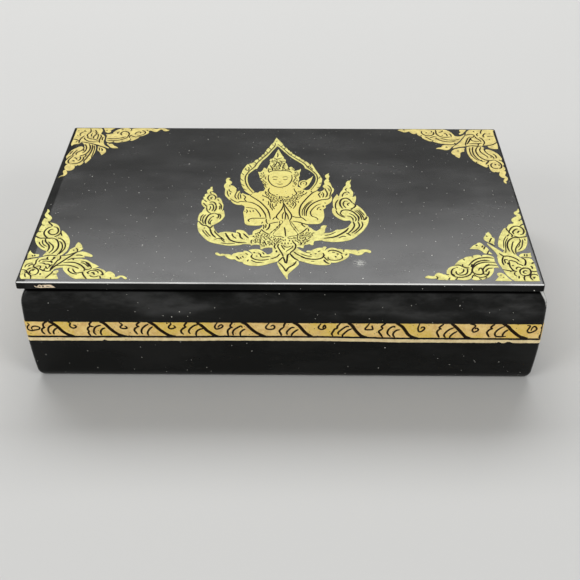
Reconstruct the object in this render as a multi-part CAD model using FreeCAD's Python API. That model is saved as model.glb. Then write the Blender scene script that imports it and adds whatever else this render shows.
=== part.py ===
# Lacquered trinket box: a mitred wooden case with gently bulged sides, a flat
# board for a lid on two small brass hinges, felt inside, gold leaf outside.
# Millimetres. +X runs along the front to the right, +Y to the back, +Z up.
# The origin is the middle of the face that the box stands on.
import FreeCAD, Part
import math
import os

# Case, outer size at the widest part of its sides
case_width = 204.7
case_depth = 128.5
case_height = 44.7
wall_thickness = 9.25

# Section of a side wall: a long shallow bulge, a rounded shoulder and foot
belly_height = 29.4
belly_radius = 300.0
shoulder_height = 7.1
shoulder_depth = 3.24
foot_height = 3.4
foot_depth = 1.3

# Bottom board, let into a rabbet round the inside of the walls
bottom_thickness = 3.0
rabbet_width = 3.5
bottom_fit = 0.1

# Felt
base_felt_thickness = 0.6
base_felt_margin = 1.2
floor_felt_thickness = 1.0
lining_thickness = 0.8
lining_drop = 1.2
lid_felt_thickness = 0.8
lid_felt_clearance = 1.5
felt_fit = 0.1

# Lid board, a little smaller than the widest part of the case
lid_setback = 0.75
lid_shift = 1.4
lid_thickness = 3.2
lid_corner_radius = 1.0
lid_top_rounding = 0.6
lid_under_rounding = 0.3

# Hinges: two butt hinges let into the rim and the lid
hinge_end_distance = 40.0
hinge_length = 20.0
hinge_overhang = 1.2
leaf_thickness = 0.8
leaf_recess = 0.05
leaf_rim_margin = 0.6
barrel_radius = 1.4
pin_radius = 0.6
pin_clearance = 0.04
knuckle_count = 5
knuckle_gap = 0.12
barrel_clearance = 0.2
mortise_fit = 0.1

# Slotted countersunk wood screws
screw_spacing = 11.0
screw_radius = 0.7
screw_head_radius = 1.25
screw_head_height = 0.55
screw_fit = 0.03
screw_tip = 0.9
screw_slot_width = 0.3
screw_slot_depth = 0.25
case_screw_length = 6.5
lid_screw_cover = 0.9

# Gold leaf, drawn as thin plates
leaf_gold_thickness = 0.1
band_top_drop = 18.5
band_width = 7.6
line_gap = 0.8
line_width = 1.7

# Lengths that only have to reach past what they cut
spare = 10.0

# Levels and sizes that follow
foot_z = base_felt_thickness
rim_z = foot_z + case_height
lid_top_z = rim_z + lid_thickness
belly_z = foot_z + belly_height
lid_width = case_width - 2 * lid_setback
lid_depth = case_depth - 2 * lid_setback
cavity_x = case_width / 2 - wall_thickness
cavity_y = case_depth / 2 - wall_thickness
floor_z = foot_z + bottom_thickness
lining_foot_z = floor_z + floor_felt_thickness
lining_top_z = rim_z - lining_drop
axis_y = lid_depth / 2 - hinge_overhang
axis_z = rim_z
leaf_width = axis_y - cavity_y - leaf_rim_margin
leaf_gap = barrel_radius + knuckle_gap
screw_y = -(leaf_width + leaf_gap) / 2
hinge_x = case_width / 2 - hinge_end_distance
hinge_places = {"left": -hinge_x, "right": hinge_x}


def vec(x, y, z):
    return FreeCAD.Vector(x, y, z)


def block(x0, x1, y0, y1, z0, z1):
    return Part.makeBox(x1 - x0, y1 - y0, z1 - z0, vec(x0, y0, z0))


def export(name, shape):
    shape.exportStep("parts/" + name + ".step")


# Section of the walls

def belly_inset(z):
    """How far the bulge has drawn in at height z from its widest part."""
    return belly_radius - math.sqrt(belly_radius ** 2 - (z - belly_z) ** 2)


def tangent_arc(start, direction, end):
    """The arc that leaves start along direction and runs to end."""
    chord = end - start
    along = vec(chord.x, chord.y, chord.z).normalize()
    cosine = direction.dot(along)
    side = (direction - along * cosine).normalize()
    sagitta = chord.Length / 2 * math.tan(math.acos(cosine) / 2)
    return Part.Arc(start, start + chord * 0.5 + side * sagitta, end).toShape()


def side_edges(half, sign):
    """One side of the case's section in the XZ plane, from foot to rim."""
    def on_belly(z):
        return vec(sign * (half - belly_inset(z)), 0, z)

    def belly_tangent(z, up):
        lean = math.asin((z - belly_z) / belly_radius)
        return vec(-sign * math.sin(lean), 0, math.cos(lean)) * up

    low = foot_z + foot_height
    high = rim_z - shoulder_height
    foot = on_belly(low) + vec(-sign * foot_depth, 0, -foot_height)
    rim = on_belly(high) + vec(-sign * shoulder_depth, 0, shoulder_height)
    edges = [
        tangent_arc(on_belly(low), belly_tangent(low, -1), foot),
        Part.Arc(on_belly(low), on_belly((low + high) / 2), on_belly(high)).toShape(),
        tangent_arc(on_belly(high), belly_tangent(high, 1), rim),
    ]
    return edges, foot, rim


def bulged_bar(half, length):
    """A bar along Y whose section is the whole case's section."""
    right, right_foot, right_rim = side_edges(half, 1)
    left, left_foot, left_rim = side_edges(half, -1)
    ends = [Part.makeLine(right_foot, left_foot), Part.makeLine(right_rim, left_rim)]
    outline = Part.Wire(Part.__sortEdges__(right + left + ends))
    bar = Part.Face(outline).extrude(vec(0, length, 0))
    bar.translate(vec(0, -length / 2, 0))
    return bar


def bulged_block(grow):
    """The case's outer form, pushed out by grow on every side."""
    along_y = bulged_bar(case_width / 2 + grow, case_depth + 2 * spare)
    along_x = bulged_bar(case_depth / 2 + grow, case_width + 2 * spare)
    along_x.rotate(vec(0, 0, 0), vec(0, 0, 1), 90)
    return along_y.common(along_x)


# Walls and bottom

def mitre_wedge(side):
    """The ground that one wall covers in plan, bounded by the corner mitres."""
    outer_x = case_width / 2 + spare
    outer_y = case_depth / 2 + spare
    depth = 2 * spare + wall_thickness
    inner_x = outer_x - depth
    inner_y = outer_y - depth
    corners = {
        "front": [(-outer_x, -outer_y), (outer_x, -outer_y), (inner_x, -inner_y), (-inner_x, -inner_y)],
        "back": [(-outer_x, outer_y), (outer_x, outer_y), (inner_x, inner_y), (-inner_x, inner_y)],
        "left": [(-outer_x, -outer_y), (-inner_x, -inner_y), (-inner_x, inner_y), (-outer_x, outer_y)],
        "right": [(outer_x, -outer_y), (inner_x, -inner_y), (inner_x, inner_y), (outer_x, outer_y)],
    }[side]
    points = [vec(x, y, -spare) for x, y in corners]
    wedge = Part.Face(Part.makePolygon(points + points[:1]))
    return wedge.extrude(vec(0, 0, lid_top_z + 2 * spare))


def case_walls():
    """Four bulged walls, mitred at the corners and rabbeted for the bottom."""
    rabbet_x = cavity_x + rabbet_width
    rabbet_y = cavity_y + rabbet_width
    shell = bulged_block(0)
    shell = shell.cut(block(-cavity_x, cavity_x, -cavity_y, cavity_y, -spare, lid_top_z))
    shell = shell.cut(block(-rabbet_x, rabbet_x, -rabbet_y, rabbet_y, -spare, floor_z))
    return {side: shell.common(mitre_wedge(side)) for side in ("front", "back", "left", "right")}


def bottom_panel():
    half_x = cavity_x + rabbet_width - bottom_fit
    half_y = cavity_y + rabbet_width - bottom_fit
    return block(-half_x, half_x, -half_y, half_y, foot_z, floor_z)


def base_felt():
    """The pad that the box stands on, a little inside the foot of the walls."""
    low = foot_z + foot_height
    draw_in = belly_inset(low) + foot_depth + base_felt_margin
    half_x = case_width / 2 - draw_in
    half_y = case_depth / 2 - draw_in
    return block(-half_x, half_x, -half_y, half_y, 0, foot_z)


# Felt lining

def floor_felt():
    half_x = cavity_x - felt_fit
    half_y = cavity_y - felt_fit
    return block(-half_x, half_x, -half_y, half_y, floor_z, lining_foot_z)


def wall_linings():
    """Strips of felt on the four inner faces, standing on the floor felt."""
    long_x = cavity_x - felt_fit
    inner_y = cavity_y - lining_thickness
    short_y = inner_y - felt_fit
    inner_x = cavity_x - lining_thickness
    spans = {
        "front": (-long_x, long_x, -cavity_y, -inner_y),
        "back": (-long_x, long_x, inner_y, cavity_y),
        "left": (-cavity_x, -inner_x, -short_y, short_y),
        "right": (inner_x, cavity_x, -short_y, short_y),
    }
    return {side: block(*span, lining_foot_z, lining_top_z) for side, span in spans.items()}


def lid_felt():
    """The felt under the lid, which drops between the wall linings."""
    half_x = cavity_x - lining_thickness - lid_felt_clearance
    half_y = cavity_y - lining_thickness - lid_felt_clearance
    return block(-half_x, half_x, -half_y, half_y, rim_z - lid_felt_thickness, rim_z)


# Hinges, drawn about their pin's axis at the origin, along X

def screw_places():
    return [(x, screw_y) for x in (-screw_spacing / 2, screw_spacing / 2)]


def countersink(fit):
    return Part.makeCone(
        screw_radius + fit,
        screw_head_radius + fit,
        screw_head_height,
        vec(0, 0, -leaf_recess - screw_head_height),
    )


def screw(length):
    """A screw that points down, its head flush with the leaf's face."""
    shank_z = -leaf_recess - length + screw_tip
    shank = Part.makeCylinder(
        screw_radius, length - screw_tip - screw_head_height, vec(0, 0, shank_z)
    )
    tip = Part.makeCone(screw_radius / 6, screw_radius, screw_tip, vec(0, 0, shank_z - screw_tip))
    slot = block(
        -screw_head_radius,
        screw_head_radius,
        -screw_slot_width / 2,
        screw_slot_width / 2,
        -leaf_recess - screw_slot_depth,
        0,
    )
    return countersink(0).fuse(shank).fuse(tip).removeSplitter().cut(slot)


def hinge_leaf(knuckles):
    """The lower leaf, flat plate to the front, with the named knuckles."""
    top = -leaf_recess
    foot = top - leaf_thickness
    half = hinge_length / 2
    pitch = hinge_length / knuckle_count
    leaf = block(-half, half, -leaf_width, -leaf_gap, foot, top)
    for index in knuckles:
        start = -half + index * pitch + knuckle_gap / 2
        end = -half + (index + 1) * pitch - knuckle_gap / 2
        leaf = leaf.fuse(Part.makeCylinder(barrel_radius, end - start, vec(start, 0, 0), vec(1, 0, 0)))
        leaf = leaf.fuse(block(start, end, -leaf_gap, 0, foot, top))
    bore = Part.makeCylinder(
        pin_radius + pin_clearance, hinge_length + 2 * spare, vec(-half - spare, 0, 0), vec(1, 0, 0)
    )
    leaf = leaf.removeSplitter().cut(bore)
    for x, y in screw_places():
        hole = Part.makeCylinder(screw_radius + screw_fit, leaf_thickness + spare, vec(x, y, foot - spare / 2))
        sink = countersink(screw_fit)
        sink.translate(vec(x, y, 0))
        leaf = leaf.cut(hole).cut(sink)
    return leaf


def hinge_pin():
    return Part.makeCylinder(pin_radius, hinge_length, vec(-hinge_length / 2, 0, 0), vec(1, 0, 0))


def hinge_mortise(screw_length):
    """What a leaf, the barrel and two screws take out of the wood below."""
    half = hinge_length / 2 + mortise_fit
    notch = barrel_radius + barrel_clearance
    cutter = block(-half, half, -leaf_width - mortise_fit, 0, -leaf_recess - leaf_thickness, 0)
    cutter = cutter.fuse(block(-half, half, -notch, spare, -notch, 0))
    for x, y in screw_places():
        depth = leaf_recess + screw_length
        cutter = cutter.fuse(Part.makeCylinder(screw_radius + screw_fit, depth, vec(x, y, -depth)))
    return cutter


def flipped(shape):
    """Turned upside down about the hinge's axis plane, for the lid."""
    return shape.mirror(vec(0, 0, 0), vec(0, 0, 1))


def at_hinge(shape, side):
    placed = shape.copy()
    placed.translate(vec(hinge_places[side], axis_y, axis_z))
    return placed


def screw_group(pattern):
    """All the screws of one leaf on both hinges, as separate solids."""
    screws = []
    for side in hinge_places:
        for x, y in screw_places():
            one = pattern.copy()
            one.translate(vec(x, y, 0))
            screws.append(at_hinge(one, side))
    return Part.makeCompound(screws)


# Lid

def lid_panel(mortise):
    """The lid board with rounded edges, notched below for the hinges."""
    half_x = lid_width / 2
    half_y = lid_depth / 2
    board = block(-half_x, half_x, -half_y, half_y, rim_z, lid_top_z)
    corners = [edge for edge in board.Edges if abs(edge.BoundBox.ZLength - lid_thickness) < 0.001]
    board = board.makeFillet(lid_corner_radius, corners)

    def rim_edges(shape, level):
        return [edge for edge in shape.Edges
                if abs(edge.BoundBox.ZMin - level) < 0.001 and abs(edge.BoundBox.ZMax - level) < 0.001]

    board = board.makeFillet(lid_top_rounding, rim_edges(board, lid_top_z))
    board = board.makeFillet(lid_under_rounding, rim_edges(board, rim_z))
    board.translate(vec(-lid_shift, 0, 0))
    for side in hinge_places:
        board = board.cut(at_hinge(mortise, side))
    return board


# Gold leaf

def gilt_ring(top, width):
    """A strip of gold leaf round the four bulged sides."""
    reach_x = case_width / 2 + spare
    reach_y = case_depth / 2 + spare
    slab = block(-reach_x, reach_x, -reach_y, reach_y, top - width, top)
    return bulged_block(leaf_gold_thickness).common(slab).cut(bulged_block(0))


def gilt_plate(stretches, place):
    """A plate of gold leaf on the lid. Each stretch of its outline is smooth
    and starts where the one before it ends; place maps a point to the lid."""
    last = stretches[-1][-1]
    edges = []
    for stretch in stretches:
        points = [place(u, v) for u, v in [last] + stretch]
        last = stretch[-1]
        if len(points) == 2:
            edges.append(Part.makeLine(points[0], points[1]))
        else:
            curve = Part.BSplineCurve()
            curve.interpolate(points)
            edges.append(curve.toShape())
    return Part.Face(Part.Wire(edges)).extrude(vec(0, 0, leaf_gold_thickness))


# A corner ornament: u along the front or back edge and v along the side edge
corner_outline = [
    [(1.3, 2.2)],
    [(16.1, 2.2)],
    [(14.6, 5.6), (15.4, 9.6), (16.8, 9.8)],
    [(18.6, 5.2), (22.6, 2.2)],
    [(32.6, 2.2)],
    [(42.6, 2.6)],
    [(39.6, 4.6), (37.6, 3.4)],
    [(36.2, 7.2), (33.4, 8.0)],
    [(30.6, 11.6), (25.6, 14.6), (20.6, 16.0)],
    [(23.6, 17.2), (26.6, 18.2)],
    [(25.0, 20.8), (21.6, 21.4)],
    [(21.4, 25.0), (19.6, 27.6)],
    [(17.6, 24.0), (16.0, 22.0)],
    [(16.4, 27.0), (14.6, 32.5), (11.6, 36.2)],
    [(10.2, 39.6), (7.6, 42.0), (5.0, 42.4)],
    [(4.8, 47.2), (3.0, 50.0), (2.0, 53.2)],
    [(1.4, 46.0)],
    [(1.4, 30.5)],
    [(3.4, 24.6), (7.2, 19.6)],
    [(3.6, 18.0), (1.3, 21.6)],
]

# The praying figure in its flame: x and y from the middle of the lid
flame_outer = [
    [(1.0, 46.0), (8.0, 34.4), (13.0, 28.6)],
    [(16.2, 21.0), (17.3, 14.0), (15.0, 7.0), (9.0, 0.0)],
    [(-12.0, 0.0)],
    [(-16.4, 6.4), (-18.7, 14.0), (-18.4, 22.0), (-13.0, 31.4)],
    [(-8.0, 42.0), (-3.5, 53.4)],
]
flame_inner = [
    [(3.0, 36.0), (10.0, 26.0)],
    [(13.8, 21.0), (15.0, 14.0), (13.0, 7.6), (7.0, 2.0)],
    [(-10.0, 3.0)],
    [(-14.2, 7.6), (-16.2, 14.0), (-15.6, 19.4), (-12.4, 25.0)],
    [(-8.0, 36.0), (-3.2, 45.4)],
]
figure_outline = [
    [(-1.2, 37.0), (0.6, 31.0), (3.0, 26.0), (7.8, 23.8)],
    [(7.0, 15.0), (6.6, 8.4), (11.0, 4.0)],
    [(16.0, 3.4), (18.6, 11.0), (20.5, 20.0)],
    [(22.2, 7.0), (20.4, -1.0), (18.0, -7.4)],
    [(18.0, -18.4), (11.0, -21.8)],
    [(12.0, -24.8), (13.6, -28.0)],
    [(13.6, -33.8), (12.4, -36.4), (6.2, -38.4)],
    [(5.6, -46.0), (7.0, -50.0)],
    [(4.4, -55.0), (3.0, -60.4)],
    [(0.6, -55.0), (-1.2, -49.0)],
    [(-0.2, -46.0), (-2.6, -38.4)],
    [(-8.0, -39.8), (-12.2, -36.8)],
    [(-12.0, -30.0), (-8.0, -24.0)],
    [(-8.0, -22.4)],
    [(-13.0, -22.4), (-15.4, -20.4), (-16.2, -7.0)],
    [(-21.4, -5.4), (-24.6, 1.0), (-25.4, 8.0), (-24.4, 16.2)],
    [(-21.8, 8.4), (-18.0, 3.6), (-12.0, 0.4)],
    [(-7.0, 5.0), (-9.0, 12.0), (-11.0, 21.4)],
    [(-6.6, 24.6), (-4.6, 34.0), (-2.7, 42.2)],
]
left_scroll = [
    [(-33.6, 3.0), (-34.4, -3.0), (-32.8, -9.0)],
    [(-35.0, -15.0), (-35.0, -23.0), (-31.8, -31.6), (-26.0, -36.2), (-18.0, -37.8), (-11.8, -37.0)],
    [(-11.0, -30.0)],
    [(-17.0, -26.4), (-21.0, -28.2), (-25.4, -28.6)],
    [(-27.6, -25.4), (-28.4, -22.4)],
    [(-24.4, -18.0), (-24.8, -10.0), (-26.0, -3.0), (-28.6, 2.4), (-31.4, 8.0)],
]
right_scroll = [
    [(31.2, 6.0), (31.6, -1.0), (31.8, -5.6)],
    [(35.0, -10.4), (36.4, -17.0), (34.2, -27.0), (29.6, -32.4), (22.0, -34.8), (13.0, -33.6)],
    [(13.0, -30.0)],
    [(15.8, -28.0), (17.0, -23.6), (18.8, -22.6)],
    [(18.6, -26.4), (23.0, -26.4), (28.0, -22.6), (29.2, -18.4)],
    [(24.4, -16.6), (21.2, -11.0), (22.0, -3.0), (25.4, 4.0), (29.6, 14.6)],
]
left_pendant_scroll = [
    [(-22.0, -45.4), (-18.0, -47.6)],
    [(-14.6, -49.8), (-9.0, -51.8), (-2.0, -49.6), (1.0, -46.0)],
    [(-0.6, -40.0)],
    [(-2.6, -43.6), (-6.0, -43.0)],
    [(-11.0, -40.2), (-17.0, -42.8)],
    [(-21.0, -43.8), (-26.0, -42.4)],
]
right_pendant_scroll = [
    [(32.0, -44.4), (27.0, -45.4)],
    [(24.0, -49.4), (18.0, -51.0), (9.0, -50.2), (3.0, -45.0)],
    [(6.4, -39.4)],
    [(10.0, -42.0), (16.0, -39.2), (24.0, -39.6), (30.0, -41.4), (36.0, -41.4)],
]


def corner_gilding(sign_x, sign_y):
    def place(u, v):
        return vec(sign_x * (lid_width / 2 - u) - lid_shift, sign_y * (lid_depth / 2 - v), lid_top_z)

    return gilt_plate(corner_outline, place)


def figure_gilding():
    def place(x, y):
        return vec(x - lid_shift, y, lid_top_z)

    shape = gilt_plate(flame_outer, place).cut(gilt_plate(flame_inner, place))
    for outline in (figure_outline, left_scroll, right_scroll, left_pendant_scroll, right_pendant_scroll):
        shape = shape.fuse(gilt_plate(outline, place))
    return shape.removeSplitter()


# All the pieces

def main():
    os.makedirs("parts", exist_ok=True)
    case_mortise = hinge_mortise(case_screw_length)
    lid_screw_length = lid_thickness - lid_screw_cover - leaf_recess
    lid_mortise = flipped(hinge_mortise(lid_screw_length))
    case_knuckles = range(0, knuckle_count, 2)
    lid_knuckles = range(1, knuckle_count, 2)

    walls = case_walls()
    for side in hinge_places:
        walls["back"] = walls["back"].cut(at_hinge(case_mortise, side))
    for side, wall in walls.items():
        export(side + "_wall", wall)
    for side, lining in wall_linings().items():
        export(side + "_lining", lining)
    export("bottom_panel", bottom_panel())
    export("base_felt", base_felt())
    export("floor_felt", floor_felt())

    export("lid_panel", lid_panel(lid_mortise))
    export("lid_felt", lid_felt())
    for side in hinge_places:
        export("hinge_" + side + "_case_leaf", at_hinge(hinge_leaf(case_knuckles), side))
        export("hinge_" + side + "_lid_leaf", at_hinge(flipped(hinge_leaf(lid_knuckles)), side))
        export("hinge_" + side + "_pin", at_hinge(hinge_pin(), side))
    export("case_screws", screw_group(screw(case_screw_length)))
    export("lid_screws", screw_group(flipped(screw(lid_screw_length))))

    band_top = lid_top_z - band_top_drop
    export("gilt_band", gilt_ring(band_top, band_width))
    export("gilt_line", gilt_ring(band_top - band_width - line_gap, line_width))
    export("gilt_corner_front_left", corner_gilding(-1, -1))
    export("gilt_corner_front_right", corner_gilding(1, -1))
    export("gilt_corner_back_left", corner_gilding(-1, 1))
    export("gilt_corner_back_right", corner_gilding(1, 1))
    export("gilt_figure", figure_gilding())


main()
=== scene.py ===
"""Lacquered trinket box: walls, lid, gold ornament, felt and brass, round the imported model.

Everything is in metres, +Z up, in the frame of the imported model. The gold is drawn in
millimetres, in the small language that the section on drawings explains.
"""
import math
import random

import bpy
import bmesh
from mathutils import Matrix, Vector, noise
from mathutils.geometry import convex_hull_2d, delaunay_2d_cdt

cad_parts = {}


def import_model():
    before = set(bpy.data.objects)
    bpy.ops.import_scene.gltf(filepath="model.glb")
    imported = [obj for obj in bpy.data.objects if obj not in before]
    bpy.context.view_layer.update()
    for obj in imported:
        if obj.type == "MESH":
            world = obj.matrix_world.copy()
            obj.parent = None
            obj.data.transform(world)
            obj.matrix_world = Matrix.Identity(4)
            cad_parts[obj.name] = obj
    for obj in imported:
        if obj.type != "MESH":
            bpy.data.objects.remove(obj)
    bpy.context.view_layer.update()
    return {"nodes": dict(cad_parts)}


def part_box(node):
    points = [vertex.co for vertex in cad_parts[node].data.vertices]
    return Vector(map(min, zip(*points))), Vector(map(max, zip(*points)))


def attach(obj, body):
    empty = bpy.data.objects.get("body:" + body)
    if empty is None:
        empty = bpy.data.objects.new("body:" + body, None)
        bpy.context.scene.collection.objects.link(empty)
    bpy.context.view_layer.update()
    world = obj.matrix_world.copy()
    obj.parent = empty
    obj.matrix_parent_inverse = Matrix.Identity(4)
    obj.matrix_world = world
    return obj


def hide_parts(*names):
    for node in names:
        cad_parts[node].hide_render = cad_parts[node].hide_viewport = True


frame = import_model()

MM = 0.001

# Case walls: section of the outside, as the real wall is shaped
BELLY_RADIUS = 300 * MM
BELLY_HEIGHT = 29.4 * MM
SHOULDER_HEIGHT = 7.1 * MM
SHOULDER_DEPTH = 3.24 * MM
FOOT_HEIGHT = 3.4 * MM
FOOT_DEPTH = 1.3 * MM
WALL_CORNER = 1.3 * MM
INNER_CORNER = 0.3 * MM
RIM_SOFTNESS = 0.35 * MM
ARC_STEPS = 6
BELLY_STEPS = 14
MORTISE_FIT = 0.1 * MM
WALL_ANGLE = 40             # degrees; sharper edges of a wall stay sharp

# Gold leaf: how far a plate stands proud of the lacquer, and how far it is sunk in it
GOLD_PROUD = 0.08 * MM
GOLD_SUNK = 0.02 * MM
LINE_PROUD = 0.04 * MM
SMALLEST_SPECK = 0.05       # square millimetres; less gold than this between lines is left out

# Brush, in millimetres
CORNER_BRUSH = (0.32, 0.75)  # widths of the dark lines: the least, and the share of what is drawn
FIGURE_BRUSH = (0.20, 0.75)
CHIP_BRUSH = (0.0, 1.0)
VINE_WEIGHT = 1.75          # the vine's strokes are so many times as wide as drawn
SPAN_STEPS = 5              # points along each span of a drawn curve
STRAIGHT_STEPS = 4
DOT_SIDES = 10
TIP = 0.6                   # width of a stroke's ends as a share of its full width
TAPER = 2.4                 # how fast it widens from there, by the share of its length

# Small strokes of the fine work, in millimetres
FINE_STEP = 1.1             # spacing
FINE_SPREAD = (0.85, 1.15)  # shares of it from stroke to stroke; rows lie the first one apart
FINE_DRIFT = 0.2            # how far a stroke strays from its row
FINE_GAP = 0.6              # how far it keeps from the drawn lines
FINE_REACH = 0.6            # half its length
FINE_BOW = 0.2
FINE_TURN = 1.4             # how far it turns from upright either way, in radians
FINE_WIDTH = (0.32, 0.5)

# Gold on the walls, heights above the floor in millimetres
VINE_TOP = 29.9
VINE_FOOT = 0.45            # lower edge, above the dark border under the vine
VINE_RIGHT_END = 101.2      # the leaf on the front stops short of the right corner
VINE_PITCH = 19.6
VINE_REPEAT = 4             # on the walls out of sight the first few units come again and again,
VINE_SHIFT = 1.5            # moved to the left, so that the last stem has room
# How the border's height changes along the front, and its mean and wave on the other walls
BORDER = ((-102, 22.4), (-80, 22.45), (-60, 22.6), (-40, 22.65), (-20, 22.95), (15, 23.0),
          (30, 22.8), (45, 22.45), (102, 22.45))
OTHER_BORDER = (22.5, 0.12, 17)
STRIPE = (-2.12, -0.58)     # edges of the stripe, above the border
NICKS = (-71.0, 85.5, 89.5)
NICK_SIZE = 0.6
EDGE_STEP = 1.1             # spacing of the points along the uneven edges of the leaf
EDGE_WOBBLE = 0.07
END_STEP = 0.6              # the same at the vine's right end on the front
END_WOBBLE = (-0.35, 0.25)
FOLD = (15, 35)             # the leaf folds round the corners along lines between these heights

# Felt
FELT_CELL = 2.0 * MM
FELT_NAP = 0.12 * MM
FELT_WAVES = (260, 900)     # sizes of the unevenness, per metre
FELT_EDGE = 0.25            # how far the border of the nap is pressed down, as a share of the thickness
FELT_ANGLE = 60

# Turn of the cells that specks and pits lie in, so that no face of the box lies along them
CELL_TURN = (0.5, 0.3, 0.8)

# Between these heights the case's lacquer turns dull and its colour goes near black: painted shade in
# the shelter of the lid
SHADE_LOW = 43.2 * MM
SHADE_HIGH = 43.8 * MM

# Marks and painted highlights: a pair of millimetres says where one starts to show and where it is full
SMUDGE = (0.0298, -0.0496, 0.0485)  # middle of a pale smudge on the lid, in metres
SMUDGE_REACH = (3.4, 0.6)
EDGE_GLINT_BACK = (0.62, 0.45)    # painted highlight along the lid's front top edge, from the front
EDGE_GLINT_DOWN = (-0.34, -0.20)  # and from the top
SIDE_SHINE = (-0.7, -0.3)   # the lid's top shines more than its sides, from the top
STRIP_SHINE = (-0.6, -1.3)  # and more than a strip along its left and right edges, from the edge
CORNER_GLINT = (-1.20, -0.95)   # painted highlight down the case's front right corner, outwards along the diagonal
CORNER_GLINT_HEIGHT = (38.0, 39.5)
AMBER_REACH = (37, 7)       # warmer gold round the figure's chest
CHEST = (-1.2, -1.0, 0)     # from the lid's middle

# Camera, found from the lid's four corners in the photograph
CAMERA_PLACE = Vector((5.93, -372.90, 276.45)) * MM
CAMERA_PITCH = 36.730
CAMERA_YAW = -0.620
CAMERA_ROLL = -0.068
FOCAL_PIXELS = 1004.88
PICTURE_PIXELS = 580
SENSOR = 36.0

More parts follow.
